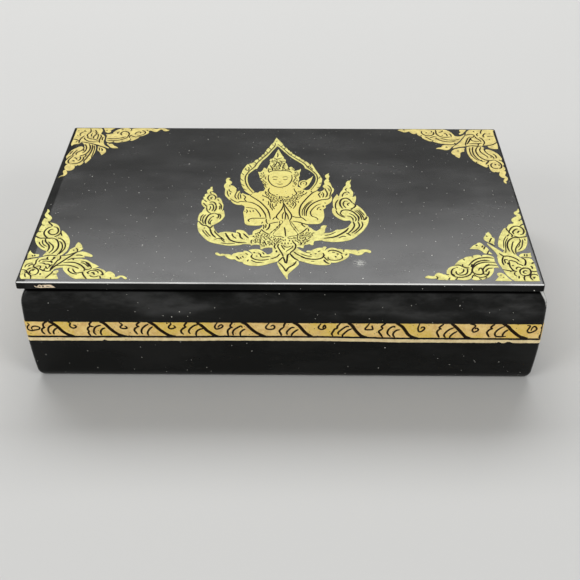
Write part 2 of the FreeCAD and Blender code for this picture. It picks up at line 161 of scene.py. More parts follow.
# Drawings, in millimetres. A corner's x and y run inwards from the lid's edges, the figure's from
# the lid's middle. A row that starts with a space continues the one above.
# leaf: a gold outline, whose smooth stretches meet in cusps at each |
# line: a dark brush stroke, its width first; one point is a dot
# gap: a closed dark shape
# fine: a ring that small strokes fill
# unit: the next length of the vine on the walls, and where its stem starts
# curl: a brush stroke that only the front wall has
DRAWINGS = {}
DRAWINGS["corner_front_left"] = """
leaf 2,52.8 | 2.9,51.6 3.2,50.6 2.8,49.2 | 3.5,48.2 4.8,46.6 5.3,45.2 4.9,43.6 5,42.2 | 6.6,41.7
 8.4,40.6 9.6,38.8 10.7,35.6 | 11.5,36.1 | 13.3,34 14.9,31.4 15.9,28.6 16.3,25 16.1,21.6 14.6,18.4
 | 12,17.6 7,17.9 | 7.6,19.4 8.2,20.9 | 6,22.3 4.2,24.1 2.8,26.2 1.9,28.4 1.5,30.2 1.6,31.6 |
 1.4,33.4 1.7,34.8 | 1.8,35.7 1.7,37.6 2,39.7 | 2.1,40.6 1.7,42.4 2,45 | 2.4,46.2 1.7,48.2
 2.1,50.6 2,52.8
leaf 15.6,18 | 16.7,20.4 17.1,22.2 18.8,24.2 | 19,26 19.6,27.7 | 20.8,26.4 21.6,24.8 21.5,23.8 |
 22.2,23.4 21.6,22 20.4,20.8
leaf 12,7.6 | 13.4,8.6 15,11 17.6,15.2 | 20.4,16.6 24,16.8 | 23.8,17.8 25,17.6 26.6,17.3 27,18 |
 26.2,19 24.8,20 23.2,20.8 21.6,20.9 20.4,20.4 | 15.6,18.4 12.6,17.6 | 10,12
leaf 13.4,8.8 | 15,9.6 16.6,9.9 | 17,8.6 17.8,7.2 19.4,5.2 21,3.6 22.8,2.5 24.6,2.6 | 25.8,2.5
 27.4,2.5 | 31.6,2.5 | 32.6,3 | 36.2,2.5 | 38.6,2.5 | 39.6,3 40,3.8 40.8,3.6 41.7,2.6 42.4,2.4
 42.8,2.9 | 42,3.9 41,4.6 39.6,4.7 38.5,3.7 | 38,3.9 | 37.6,5.4 36.4,6.9 35,7.4 33.6,6.6 |
 33.8,7.4 | 32.6,8.6 31,9.4 29.2,9.7 | 30.6,10.6 | 29.6,11.6 28.6,12.4 | 27.8,12.8 26.6,14 25,15.2
 22.6,16 | 19,16 15,13
leaf 1,14.6 | 3.4,15.8 5.4,16.2 7.2,17 8.4,17.7 | 12.8,18 16,17.6 | 13.2,8 | 13.3,7.2 14.2,7.9
 15.2,8 15.4,7 14.8,5.6 | 15.6,4 16.3,2.3 | 1.9,2.3 | 1.2,4 0.8,8 0.8,12
leaf 1.5,15.4 | 1.1,18 1.1,20 1.4,21.6 | 2,20.4 3.2,19.1 4.4,19 5.5,18.8 | 5.5,17.4 3.6,16.6
line .45 1.6,46.2 2.4,45.8 3.4,45.3
line .4 1.6,40.7 2.4,40.2 3.3,39.9
line .4 1.4,35.6 2.2,35.2 3,35.1
line .6 4.4,43.2 5,41.7 6,40.6 6.7,39.3
line .6 6.6,39 5.2,38 4.4,36.4 4.2,34.6 4.7,32.9 5.7,31.4 6.8,30.4
line .6 7.6,37 6.6,36.9 6,35.9 6,34.8 6.8,33.6 8.2,33 9.5,33.8 9.9,35.4 9.5,37.2 8.6,38.5 7.2,39
line .5 10.9,36.4 11.1,34.6 12,32.2
line .45 11,34.4 10.5,32.8 9.5,31.8 9.2,31.3
line .6 1.2,32.2 2.4,31 3.6,30.4 5.2,30.5 6.6,30.3 8.2,30.5 9.4,30.2
line .6 9.2,30.3 10.5,29.2 11.5,27.2 12,24.8 11.9,22.6 11.2,20.6 10.3,19.2
line .45 10.6,30.8 12.4,29.7 13.8,27.8 14.7,25.4 14.8,23 14.2,21 13.4,19
line .4 11.7,28.4 12.8,27 13.5,25.2 13.8,23.2 13.5,20.8 12.7,18.2
line .6 5.8,30 6,28.4 6.9,26.9 8,25.4 8.5,23.4 8.3,21
line .45 7.3,28 8.3,26.7 9.6,25.2 10.2,23.4 10,21.6 9.1,19.8
line .35 4.8,29.2 5,27.4 5.8,25.8 7.4,24.3
line .35 3.6,27.8 4.2,26.2 5.4,24.6 6.8,23.3
line .5 7,17.3 8.4,17.9 10.4,18.3 12.8,17.9
line .5 14,18 15.8,18.2 17.6,18.8 20.6,20.8 21.8,21.2
line .5 16.2,19.4 16.6,21 16.9,22.6
line .7 18.7,21.9
line .35 19.4,23.4 20.2,22.2 20.2,21
line .7 20.2,20.4 18.4,18 14.8,12.8 13.4,10.9 12.3,8.8 12,7.4
line .45 13.7,15.4 13.2,13.2 11.8,8.8
line .6 20.2,18.4 21.6,18.5 23,18.1
line .5 17.4,15 19.2,16 21.4,16.3 23.4,16.2 24.9,15.5
line .6 16.2,13.2 18.6,13.5 21,13.1 23,11.9 24.6,10.2 25.4,8.7 25.2,7.4
line .45 14,11 16.4,11.5 18.6,11.4 20.6,10.7 22.2,9.8 23,9.1
line .35 23.2,13.4 24.6,12.6 25.8,11.4 26.6,10.3
line .35 22.8,14.4 25,13.7 26.6,12.3 28,9.5
line .5 19.2,9.7 19,8.4 19.9,7 21.4,5.9 23,5.4
line .45 20.6,9.2 21.4,7.4 22.6,6.3 24,6.6 25,6.9
line .5 24.8,7.2 25.4,5.2 27.2,2.3
line .35 28,9.5 26.6,8.6 25.4,8.9
line .5 28.4,9.2 30.4,8.7 32,7.5 32.9,5.9 32.2,5
line .4 27,5.8 27,7 28,8 29.4,8.1 30.7,7.3 31.1,6.1
line .45 28.3,6.4 29,6.7 29.7,5.8
line .35 28,4.8 29,3.9 30.4,3.8 31.5,4.7
line .35 31.9,4.6 32.6,2.7
line .3 36.2,3.5 36.6,2.5
line .5 0.8,8.4 2.6,7.9 3.4,6.6 4.3,5.3 5.2,4.4 5.6,2.3
line .5 6.2,8.4 5.2,8.4 4.3,7.4 4.3,6.4 5,5.6
line .4 4.4,9.6 6.2,9.3 7.4,8.1 7.6,6.4 7,5.2 5.6,4.7
line .45 5.8,16.2 5.3,14.4 5.4,12.4 4.9,10.7 6.2,9.6 7.3,8.6
line .35 6.4,13.4 6.8,14.8 8.4,15.5 10.2,15.2
line .5 6.8,12.9 8.4,12.8 9.4,12.1 10.6,12.1 11.3,11 11,9.6
line .35 7.8,14 9.6,14.2 11.2,13.6
line .4 6,10.6 7.4,10.9 7.9,10 7.6,8.8
line .35 1.7,9.8 2,11.6 3.4,12.8 4.4,12.6
line .5 13.2,7.6 12.9,6 12.1,4.6 11.1,2.6
line .4 9.8,9.4 9.6,8 10.8,7.3 12.4,7.6
line .6 8.6,6 8.8,4.9
line .35 13.5,5.6 14.8,5.4
line .35 2.6,6 2.9,4.6 3.4,3.4
line .5 0.8,14.8 2.6,16 6.4,17.2
line .35 2.8,18.4 3.4,17.2
line .35 3.7,18.6 4.1,17.4
line .5 9.4,17.3 9.2,16.2 9.8,15.3
line .5 12,17.3 12.2,15.9
line .5 14.2,17.9 14.4,16 13.5,14.3
line .5 12.1,12.1 11.2,10.4
line .5 2.8,10.4 3.6,11.6 4.8,12
line .5 9.7,10.9 10.2,9.6 11,9
line .5 2.2,7.1 3.3,6.1
line .5 19.4,16.2 19.9,15
line .5 24.9,13.7 26.3,11.9 27.1,10.6
line .5 26.5,6.9 27.5,5.9
line .5 33.4,5.9 32.8,4.8
line .5 29,6.5 29.9,5.2
line .5 4.4,9.6 3.5,9 3.1,8.2
line .5 7.6,8.9 8.6,8.3 9.6,7.4
line .6 10.6,14.4 11.5,13.8 11.6,12.8
line .5 11.7,17.2 11.8,15.8 11.2,14.7
line .6 5.4,7.8
"""
DRAWINGS["corner_front_right"] = """
leaf 1.2,54.8 | 1.9,53.2 3,52.3 3.6,51.2 3.3,49.9 2.8,49.2 | 3,48.5 4.3,47.6 5.3,46.4 5.5,45.2
 5.2,43.8 | 5.3,43 6.4,42.7 7.4,41.9 8.6,39.4 | 9.2,39.6 10.3,38.2 12.5,33.2 13.2,30.6 13.8,28.4
 14,26 | 13.1,24.6 12.1,23 | 12.8,22.2 | 10.6,21.8 8.4,19.6 | 7.9,19.7 7.4,21.9 | 5.2,23 3.7,24.4
 2.7,26.4 2,28.4 1.3,32.4 | 1.5,33.2 | 1.7,34.5 1.2,35.8 1,37.4 1.2,39.6 1.1,41.8 | 1.6,42 |
 1.2,43.6 1.3,45.6 | 1.6,46.4 | 1.1,48 1.3,50.2 | 2,51.2 1.4,51.7 1.1,52.6 1,54 1.2,54.8
leaf 13.2,21.8 | 14,23.2 17,27 18,28.5 | 18.3,27.8 17.4,25.6 16.4,23.4 15.7,21.4 15.4,19.6
 15.8,17.8 | 14.6,17.4
leaf 15.4,26.2 | 15.4,28 14.9,30.2 14.7,31.8 15.5,32.7 15.7,34.4 16.4,36.6 | 17.4,35.7 18.1,34
 18.9,32.6 19.1,31.2 18.4,29.8 17.6,29 16.6,27.4
leaf 18.9,20.6 | 18.6,22 18.2,23.3 18.6,24.8 19.6,26.2 20.2,27.6 21,28.6 22,28.4 22.8,27.3 |
 23.6,27 24.6,25.9 25.7,24.2 | 24,24.1 22.4,23.8 21.2,22.7 20.6,21.5 19.9,20.8
leaf 17.2,20.5 | 17.8,21.6 18.2,22.5 | 18.7,21.3 18.7,20.4
leaf 17.1,16 | 17,17.6 17.3,18.8 18.6,19.7 20.2,20.1 21.6,19.7 | 21.9,19.5 23.2,20 24.8,19.6
 25.6,18.7 | 26,18.9 27.6,18.6 28.8,17.8 29.3,17 | 29.9,17 31.4,15.6 33.3,12.7 | 32.6,12.4 |
 34,12.1 35.4,11.2 36.5,9.6 36.9,7.9 36.8,6.6 | 38,6.5 39.2,7.3 40.3,7.6 41.3,6.7 41.9,5.5 |
 43,5.4 44.4,5.7 45.7,4.5 | 44.6,4 43,3.8 41.4,3.9 | 40.6,3.2 38.6,3 37,2.9 | 36.6,3.3 35.8,2.9
 34.4,3 | 34,3.3 32,3 29.8,3 28.4,3.6 | 27.6,4.6 | 27.4,3.4 26.2,2.9 24.6,3.2 23,3.5 21.4,4.4
 19.9,6 18.9,7.8 18.3,9.6 18.2,11 | 17.4,11.3 16.1,11.2 | 16.4,12.6 16.9,14.4
leaf 12.3,2.5 | 13.4,4.2 14.3,6.2 15.2,7.5 16.4,7.9 17.4,7.3 17.4,6.3 17,5.4 | 17.8,4.2 18.8,2.6 |
 12.3,2.5
leaf 2,18.6 | 2.1,20 1.9,21.7 | 3.2,21.2 4.8,21.2 6,20.8 | 6.7,19.8 6.6,18.8 | 5,18.6 3.4,18.3
leaf 1.7,9.2 | 1.7,13.2 1.9,15.6 2.3,17.2 | 3.6,18 5,18.3 6.6,18.2 | 8.4,20.4 9.6,21.6 11,21.9
 12.9,22 | 13.8,21.4 14.9,20.6 | 15.7,16.6 15.7,14.4 15.3,12.6 14.5,9.4 | 14.3,8 13.4,5.6 11.4,2.5
 | 2.4,2.5 1.8,3.6 1.6,6 1.8,7.6 | 1.7,8.8
line .4 1,46.6 1.8,46 2.6,45
line .4 1,42.8 1.8,42.2 2.8,41.1
line .35 5.2,44 5.3,43.1
line .6 3.8,34.5 2.6,35.2 1.9,36.7 1.8,38.4 2.4,40 3.6,41 5,40.9 6.4,39.9 7.3,38.4 7.9,36.8
line .5 8.2,35.4 8,36.8 8.6,38.2 8.8,39.8
line .6 4,39 4.9,38.7 5.9,37.6 6.5,36.4 6.2,35
line .6 3.6,37.5 4.2,36.8 4.6,35.9
line .6 0.9,33.7 2.2,33.1 3.6,32.8 4.8,32.7 6.6,33.8
line .5 8.1,36.4 7.4,35.2 7.1,33.9 7.6,32.9
line .5 8.2,34.9 8.8,34.2 9.3,33.3
line .2 9.7,33.4 10.7,31.4 11.4,29.2 12,24.8
line .2 9.1,32.4 10.2,30.2 10.9,28 11.4,23.4 11.9,21.4
line .6 4.8,32.2 6.4,32.6 8,31.7 9.4,29.9 10.2,27.6 10.4,25 10,22.4
line .35 4.6,32 4.5,30.4 4.9,29 5.7,27.8 7.2,24.8 7.6,22.6 7.9,20.4
line .35 7.2,29.6 7.9,28.5 8.9,24.6 8.8,22.4 8.4,20.4
line .35 2.5,31.8 2.5,30.2
line .3 3.4,31.2 3.6,29.6 4.1,27.8 4.5,26.2 5.4,24.6 6.4,23.4
line .1 5.1,28 5.5,26.6 6.4,25.2
line .35 12.8,31.6 12.4,31
line .5 15.8,32.1 16.3,31.2 17.2,29
line .6 17.8,33.9 17.5,33
line .5 15.5,26.4 16.4,27.6 17.5,28.8
line .5 19.3,26.1 19.8,25 20.2,23.8
line .5 20.1,26.7 20.8,25.2
line .4 18.2,23.2 18.8,21.8 19.2,20.6
line .4 17,20.2 18.6,20.4 20,20.8
line .6 17.2,17.6 18.8,18 20.6,18.1 22.6,17.7 24.4,16.8 26,15.2 27.7,12.6
line .5 19,16.2 21,16.2 22.8,15.8 24.4,14.8 25.8,13 26.6,11.2
line .6 17,14.7 18.8,15 21,14.9 23.2,14.2 25,12.8 26.4,10.8 26.8,8.6 26,7.2 24.4,6.6 22.9,7.2
 22.6,8.6 22.7,9.8 23.1,11 23.9,10.4 24.3,9.2
line .5 16.4,12.6 18.2,13 19.8,12.9 21.4,11.9 22.2,10.6 22.5,9.6
line .5 18.6,10.9 20,10.8 21.2,9.6 21.6,8.4
line .45 20.2,9 20.8,7.2 21.8,6.8 22.8,7
line .45 20.2,8.6 21,6.6 22.4,5.2 24.2,4.8 25.6,5.4 26.4,6.6
line .35 21.6,4.9 22.4,4
line .35 24.8,4.4 24,3.2
line .5 26.8,9.2 27.6,7.2 28.8,5.8 30.6,4.9 32.4,4.7 34,5.2 35,6.6 34.9,8.6 34.2,10.2 33,11
line .5 28.6,10.6 28.6,8.8 29.4,7 31,6.2 32.6,6.6 33.2,7.8 33,8.9
line .45 30,10.2 30.2,8.8 31.2,7.6 32.2,7.4
line .6 27.6,11 29.2,11.2 30.4,12.2 31.6,12.9 33,12.8
line .35 30.1,12.2 30,13.6
line .35 32.6,11.6 32.2,10.9
line .35 25.6,18.9 25.2,18.2
line .35 21.8,19.8 21.6,18.9
line .35 29.3,17.1 28.8,16.1
line .4 26.2,6.8 27.2,5.4 27.4,4.2
line .35 25.7,6 26.4,5.4
line .35 36.2,6.8 36.8,6.3 37.2,6.6
line .35 35.9,4.6 36.7,3
line .35 33,4.4 34.1,3
line .4 41.2,5.4 40.7,4.4 41.2,3.4
line .4 15.7,6.5 16.4,6.2
line .4 15,4.8 15.6,5
line .35 3.5,20.8 3.8,19
line .35 4.5,20.8 4.7,19.2
line .6 7.4,15.6 8,17 9.6,18.5 11.4,19.3 13,19.2 13.8,20.2 14.5,21.2
line .55 13.1,19 13.8,17 14.1,15 13.8,13
line .5 8.2,13.6 8.6,15 9.8,15.9 11.4,16.4
line .45 11.6,16.4 12.9,16.9 13.1,15.4 13,14.2
line .6 11.4,16.2 11.6,12.4 11.2,10.6 10.5,9.2 9.4,8.6
line .6 6.2,18.2 5.1,17 4.9,15.4 5.3,13.8 5.9,12.6
line .45 8.4,14.2 7.2,13.4 6.3,12.5
line .6 8.2,6.8 7.2,6.1 6,6.1 4.9,6.7 4.2,8 4.1,9.6 4.6,10.8 5.8,11.1 7.2,10.7 8.1,9.6 8.4,8.2
 8.2,6.9
line .5 5.4,9.1 6.3,9.3 7,8.7 6.9,7.8 6,7.5
line .5 7.4,11.5 8.7,11.7 9.3,11 9.4,10.2
line .45 10,13 10.9,12.4
line .5 1.9,6 2.3,6.7 3.3,6.9 4.4,6.5 4.9,5.4 4.7,4 4.2,3
line .5 2.9,5.2 3.6,4.8 3.6,4
line .5 6.7,6 7.4,4.7 7.4,2.7
line .55 10.4,9.1 12,9.2 15,10.1
line .35 10.3,8.4 10.7,6.9 9.9,5.4
line .5 1.6,9.1 2.8,8.8 4,9.2
line .7 3.3,12.3
line .35 1.8,14.8 2.4,14.2
line .4 2.2,18.2 3.6,18.2 5.4,18.5 6.8,18.5
line .35 12.4,9.4 11.7,8.4
line .5 2,15.2 2.8,13.9
line .5 3,12.1 3.2,10.6
line .5 12,14.9 12.2,13.4
line .5 9.1,5.9 9.5,4.1
line .6 22.3,27.1 23.1,26.2
line .5 34.9,7.1 33.9,5.7
line .5 26.2,13.8 26.9,11.6
line .5 19.4,13.6 21.2,12.7
gap 19.6,15.8 21.6,15.7 23.4,15.0 25.0,13.7 26.2,11.8 25.8,13.3 24.6,14.7 22.8,15.6 21.2,16.1
"""
DRAWINGS["corner_back_left"] = """
leaf 1.4,48.2 | 2.3,47 3.6,46.6 4.4,45.4 4.6,44 4.2,42.6 3.6,41.6 | 4.8,41.9 6,41.4 6.8,40.2
 7,38.6 6.6,37 | 7.4,37.5 8,36.6 | 8.7,37.1 9.6,36.2 10.2,34.6 10.4,33 | 11.3,35.2 | 12.2,33
 13,30.4 13.8,25.4 13.8,22 13.6,19.8 13,18 | 11.6,17 7.4,15.6 6.2,15.1 | 7.4,17 8.1,19 | 7.8,20.6
 7.5,19.8 6.6,19.3 5.6,19.6 4.8,20.6 | 3.6,21.8 2.6,23.6 1.6,27.4 1.4,29 1.7,30.5 | 2.4,31.6 |
 2,32.6 1.9,34.2 2.3,35.4 3.2,36 | 2.7,37 2.4,38.4 2.6,39.8 3.3,41 | 2.7,41.4 2.4,42.5 2.7,43.8
 3.2,44.8 | 2.9,45.8 2.1,46.6 1.7,47.3
leaf 14.3,18.9 | 14.6,20.6 14.7,22.2 15,23.6 | 15.6,23.8 16.4,25.4 17.4,27.4 | 18.4,25.8 18.9,24.2
 18.6,22.4 17.8,21 15.4,19.4
leaf 18.1,15.8 | 18.4,16.9 20,19.4 21,20.4 22.4,20.8 24.1,20.6 | 23,19.2 21.9,18.4 21,17 20,16.5
 19.3,16.9 18.7,15.9
leaf 12,16.6 | 14,17.4 15.8,18.6 17.6,19.6 19.4,20.9 | 19.8,20.4 18,18.7 16.9,17 16.4,15 16.2,13
 16.3,11.2 16,9.4 15.1,7.8 | 14,7 13.9,5.6 14.2,4 13.9,2.4 13.2,1.2 | 2.2,1.1 1.6,2.4 1.5,5 1.6,8
 1.5,10 1.5,12 | 1.5,14 1.4,16.6 1.9,18.9 | 2.6,17.5 3.6,16.9 4.8,17 | 5.4,16 6,14.8 | 7.6,15.4
 9.8,16
leaf 14.3,1 | 15.1,2.8 15.6,4.6 16.8,5.6 18,5.1 18.3,3.9 18,3.1 | 19,1.9 19.9,1
leaf 16.3,7.2 | 17,9 17.2,13 17.8,14.5 19.2,15.2 20.8,14.6 | 21.4,15 23,15.4 24.8,14.7 | 25.4,14.6
 27,14 28.4,12.7 | 29.4,13.5 30.8,12.4 32.1,10.8 32.8,8.9 | 33.8,8.6 35.3,7.4 36.4,6 36.6,4.7
 36,3.5 | 37.2,3.1 38.2,3.8 39.2,4.4 40.3,4.4 41.1,3.4 41.8,2.3 42.7,2.2 43.4,3.2 44.4,3.7
 45.6,3.4 46.3,2.5 | 45.2,2.2 44.2,1.2 42.6,0.8 41.2,0.9 40,1.6 38.6,1.1 37,0.8 | 30.4,0.9
 27.6,1.7 | 26.4,0.9 24.4,0.9 22.6,1.6 21.2,2.6 20.2,3.8 19.6,5.2 19.6,6.3 | 18,6.9
line .6 4.3,36 5.4,35.6 7,35.4 8.3,34.4 9.2,32.7 9.6,30.9 9.2,29.2
line .55 4,35.4 3.2,34.2 3,32.6 3.4,31 4.7,27.8
line .9 4.9,32.5 5.9,33.3
line .5 5.2,29.6 6.2,30.6 6.9,31.8
line .55 7.2,33 8,31.9 8.2,30.4 7.7,28.8
line .8 8.2,28.1
line .45 2.2,31.2 2.5,29.8 3.2,28.6 4.1,27.8
line .6 10.3,34.2 10.2,32.6 10.8,30.8 11.9,25.6 12.1,22.6 12,19.6 11.4,17.4
line .45 9.8,29.8 10.2,28.2 10.1,26.8
line .35 13,30 13.2,23.6 13,20.6 12.5,18.2
line .6 7.4,28.2 9,27.4 10.2,25.8 10.9,23.6 11.1,21 10.6,18.6 9.8,16.9
line .55 5.7,27.4 5.4,26 6,24.5 7.2,23.4 8,21.8 8.1,20
line .5 8,25.5 8.8,24.6 9.3,22.8 9.3,20.6 8.7,18.6 7.8,17
line .35 8.2,23.6 8.6,22.2
line .45 4,27.6 4.2,25.6 5.4,22.6
line .35 2.6,27 2.9,25 3.6,23.4
line .6 17,23.6 16.9,22.2 16.2,21
line .35 15.7,23.2 15.5,21.6 15.2,20.4
line .6 6.2,14.8 10.2,16.1 12.2,17 13.8,18.2 17.4,19.9
line .5 1,12.1 2.4,12.3 3.6,12.9 4.4,13.8
line .35 3.3,15.3 3.8,14
line .6 4.9,16 4.7,13.8 5,11.6 6.2,8.5
line .5 6.5,10.4 7,12 8.2,13.4 9.6,14.4 11.4,14.8 14.6,14.6
line .45 7.8,9.9 8.4,11 10,11.8 11.8,12.4 13.4,13.6
line .55 14.6,15.6 14.1,13.6 14.2,11.4 14.4,9.4 13.8,7.6
line .5 11.2,11.6 10.8,9.8 11.3,8.2 11.7,6.6 11,5.2
line .4 12.8,12.2 12.9,10.4 12.8,8.4 12.3,6.4
line .5 8.4,10.2 7.6,8.6 7.6,7.2 8.4,5.6 8.6,4 8,1.2
line .5 4.4,8.8 3.9,7.2 4.4,5.6 5.6,4.6 6.8,4.8
line .4 9.8,9.4 9.4,7.8 9.7,6.2
line .6 2.9,8.2
line .6 2.6,3.7
line .7 5.5,3.2
line .45 12.2,5.6 11.2,4.4 10.6,2.8
line .45 15.5,13.2 15.2,11.6 15.4,9.8
line .4 16.4,3.6 15.9,3
line .5 17.4,12.8 19.2,13.4 21.4,13.3 23.6,12.8 25.6,11.6 27.2,10.1
line .6 17.3,11 19.4,11.5 21.8,11.4 24,10.8 26.2,9.5
line .6 26.7,10.6 27.2,8.8 27.4,6.8 26.8,5.2 25.4,4.2 24.1,4.4 23.4,5.8 23.5,7.2 24.2,8
line .45 27.9,10.8 28,9 28.6,7.6
line .45 21.9,6.6 21.7,5.4 22.4,4.4
line .5 28.6,8.4 29.8,9.3 31,9.7 32.6,9
line .5 30.2,7.2 30.5,5.6 31.6,4.6 32.8,4.9
line .5 31.2,7.9 32.8,8 34.4,7 35,5.4 34.4,4 33.2,3
line .4 32.4,6 33,5
line .35 28.9,12.6 28.5,11.3
line .35 25.1,14.6 24.9,13.7
line .35 21,14.7 20.8,13.9
line .4 27.6,3.7 28,2.6 27.7,1.6
line .35 23.2,2.9 24,1.7
line .35 36,3.5 35.2,2.6
"""
DRAWINGS["corner_back_right"] = """
leaf 2.9,51.7 | 3.5,50.8 3.7,49.6 3.4,48.4 2.9,47.5 | 2.8,46.8 | 3.8,46.4 4.5,45.2 4.7,43.8 4,41 |
 4.6,41.5 5.3,41.6 5.9,41.1 | 6.6,41.6 7.5,40.8 8,39.2 8.3,35.8 | 8.8,36.8 9.5,37.4 | 10.7,36.3
 13.3,33.3 | 14.2,32.2 15.1,30 15.8,27.8 16.3,25 16.4,22 16.2,19.6 15.8,18 | 13.4,17 11,17.4
 9.2,17.5 | 8.4,18.4 7.9,19.8 8,21.6 | 7.4,20.8 6.4,20.7 5.4,21.2 | 4.6,21.9 2.4,25 1.4,28.6
 1.4,30.2 | 2,31.4 | 1.5,32.8 1.2,34.2 1.5,35.4 | 2,36 | 1.3,37.6 1.3,39.2 1.8,40.2 | 1.4,41.4
 1.6,42.8 | 2.2,44 | 2.2,44.8 1.7,45.8 1.4,47 1.7,48.4 2.3,49.3 | 2.7,49.9 2.5,50.8 2.9,51.7
leaf 17,19.3 | 17.5,21 17.6,22.6 | 18.7,23.1 19.6,24 19.9,26 20.2,27.8 20.8,28.8 | 21.9,27.7
 22.5,26.3 | 23.3,25.2 23.8,23.8 23.3,22.2 22.3,21 | 21.4,20.3 19.8,19.6 18.4,19.2
leaf 20.8,15.5 | 21.8,17 23.2,18.7 24,20.2 25.2,21.2 26.6,21.3 27.8,20.6 | 29,20.3 30.5,20.2 |
 29.6,19.1 28,18.8 27.4,17.4 26.2,16.4 24,16.2 22.2,15.9
leaf 9,17.2 | 11,17.2 13,16.6 | 15.4,17.2 17.6,17.9 19.8,18.4 21.6,19.3 22.6,19.6 | 22,18
 20.4,16.2 19,14.4 17.7,12.2 15,6.8 | 14.3,3.8 13.4,2.2 12.5,1.2 | 1.8,1.1 1.4,3 1.4,7 1.3,13.6 |
 1.3,17 1.6,20 | 3,20.1 4.6,19.7 5.7,18.8 6,17.6 5.6,16.8 | 7.6,16.8
leaf 14,1.2 | 14.7,2.6 15.4,3.6 16,4.8 16.9,5.6 17.9,6 | 17.8,4.8 17,3.6 17.5,2.4 17.2,1.2 |
 14,1.2
leaf 15.5,6.9 | 17,9.4 18.6,12.4 20.3,14.8 | 22.4,15.6 24.8,15.6 27.2,15.2 29.6,14.2 31.4,12.8 |
 32.5,12.8 34.2,11.6 35.8,9.8 36,8.3 | 37,7.6 37.9,6.4 38.2,4.9 | 39.2,5.6 40.3,5.2 41.2,3.9
 41.9,3 | 43,3.7 44.4,3.8 45.7,2.8 47.1,1.8 | 46,1.1 44.4,1 42,1.1 39.6,0.9 | 35,0.9 29.8,1.2 |
 26.6,1 24.6,1.2 23,2.2 21.7,4 20.8,6 20.3,7.6 | 18.8,8 17.2,7.6 16.2,6.8 15.6,5.8
line .6 3.9,38.6 3,37.8 2.5,36.4 2.4,34.8 2.9,33.2 3.8,31.8 4.9,30.6
line .55 4.3,38 5.6,38.3 6.7,37.6 7.2,36.2 7,34.6 6.2,33.4
line .7 5.1,35.4 5,34.2
line .4 3.5,36 3.4,34.6
line .7 9.4,34.7 7.9,32 7.7,31
line .4 8.6,36.4 8.3,35
line .6 4.9,30.4 6.2,31 7.6,31.1 9.2,30.3 10.6,28.7 11.6,26.6 12.1,24.4 12.2,22 11.7,19.8
 10.6,17.8
line .45 2.1,31.5 2.7,30.3
line .8 10.8,30.9
line .5 9.4,32.2 10.6,31.8 11.9,30.2 12.9,28.2 13.6,25.6 13.8,22.8 13.5,20.2 13,18
line .4 12.2,31.2 13.4,29.4 14.4,27.2 15,24.4 15,21.4 14.6,19
line .35 13.4,33.2 13.2,32.2
line .5 3.7,28.8 3.6,27.2 4,25.8 4.8,24.6
line .5 4.9,29.4 5,27.8 6,26.2 7.2,24.6 7.9,22.6 8.1,20.8 8,19.6
line .5 7.4,28.6 7.9,26.9 8.9,25.4 9.9,23.6 10.3,21.6 9.9,19.8 9.3,18.2
line .4 6,28.4 6,27.2
line .9 20.5,22.2
line .6 17.4,18.6 19,18.9 20.8,19.6 22.2,20.4
line .5 9,17.4 11.2,17.6 13.4,17.1 15.2,17.7 17.4,18.6
line 1.0 25.4,18.6
line .5 20.6,15.4 22.6,16 25,16 27.4,15.7
line .5 20.9,15.6 21.2,14.2
line .6 1.2,13.6 2.6,15.2 4.4,16.4 6.4,16.9 8.4,17
line .5 8,16.6 7.3,15 7,13.2 7.4,11.4 8,9.8 8.9,8.6
line .5 8.4,14.7 10,14.9 12,14.8 14.4,15.2
line .5 10.4,17.2 10.2,15.8 9.2,14.6
line .5 8.5,13.4 8.8,12 9.6,10.6 10.4,9.4 10.6,8
line .5 9.2,12.8 10.6,12.7 12,12.5 12.8,11.6 13,10.2
line .7 15.5,15.6 14.6,13.8 13.8,11.8 13,9.8 12,8.8
line .5 16.2,17.2 16.1,15.4 15.6,13.4 14.9,11.4 14.2,9.6 13,8.4
line .5 10.9,6.6 11.1,7.8 12,8.9
line .6 10.9,6.3 12.2,5.8 13.7,6 15,6.9
line .6 5.3,4.6 6.3,6 6.8,7.4 6.4,8.8
line .5 7.5,5.2 7.3,3.2 6.5,1.1
line .45 8.8,4.6 9.6,6 9.4,7.8
line .7 4.2,10.8
line .7 3.4,5.2
line .4 1.8,7.9 3.4,7.5 5,8.2
line .5 10.4,3.6 10.9,2.4
line .45 14.8,4.8 15.6,6
line .6 20.4,12.4 22.6,13.4 25,13.2 27.4,12.2 28.8,10.6 29.6,9.4
line .5 18,10.4 20.4,11.5 23,11.6 25.4,10.8 27.2,9.6
line .6 22.8,8.6 25,8.9 27,8.2 28.3,6.8 28.9,4.8 28.8,3 28.9,1.4
line .45 22,8.4 22,6.4 22.8,5.2
line .5 23.8,7.8 24,6 25,4.6
line .7 26.1,6.8
line .5 25.4,2 26.2,3.4 27.6,4
line .5 28.8,8.8 30.2,8.2 31.4,8.9 32.4,9.4
line .8 29.4,10.4
line .6 30,3.4 30,5 30.6,6.4 32,7.3 33.8,7.2 35.2,6 35.8,4.4 35.6,2.8
line .4 30.9,4 30.8,2.4
line .9 33.5,4.4
line .5 31.6,11.9 33.2,9.8 34.4,8.4
line .35 31.4,12.8 31,11.8
line .35 36.4,7.6 35.9,6.8
line .35 44,2.2 44,1
"""
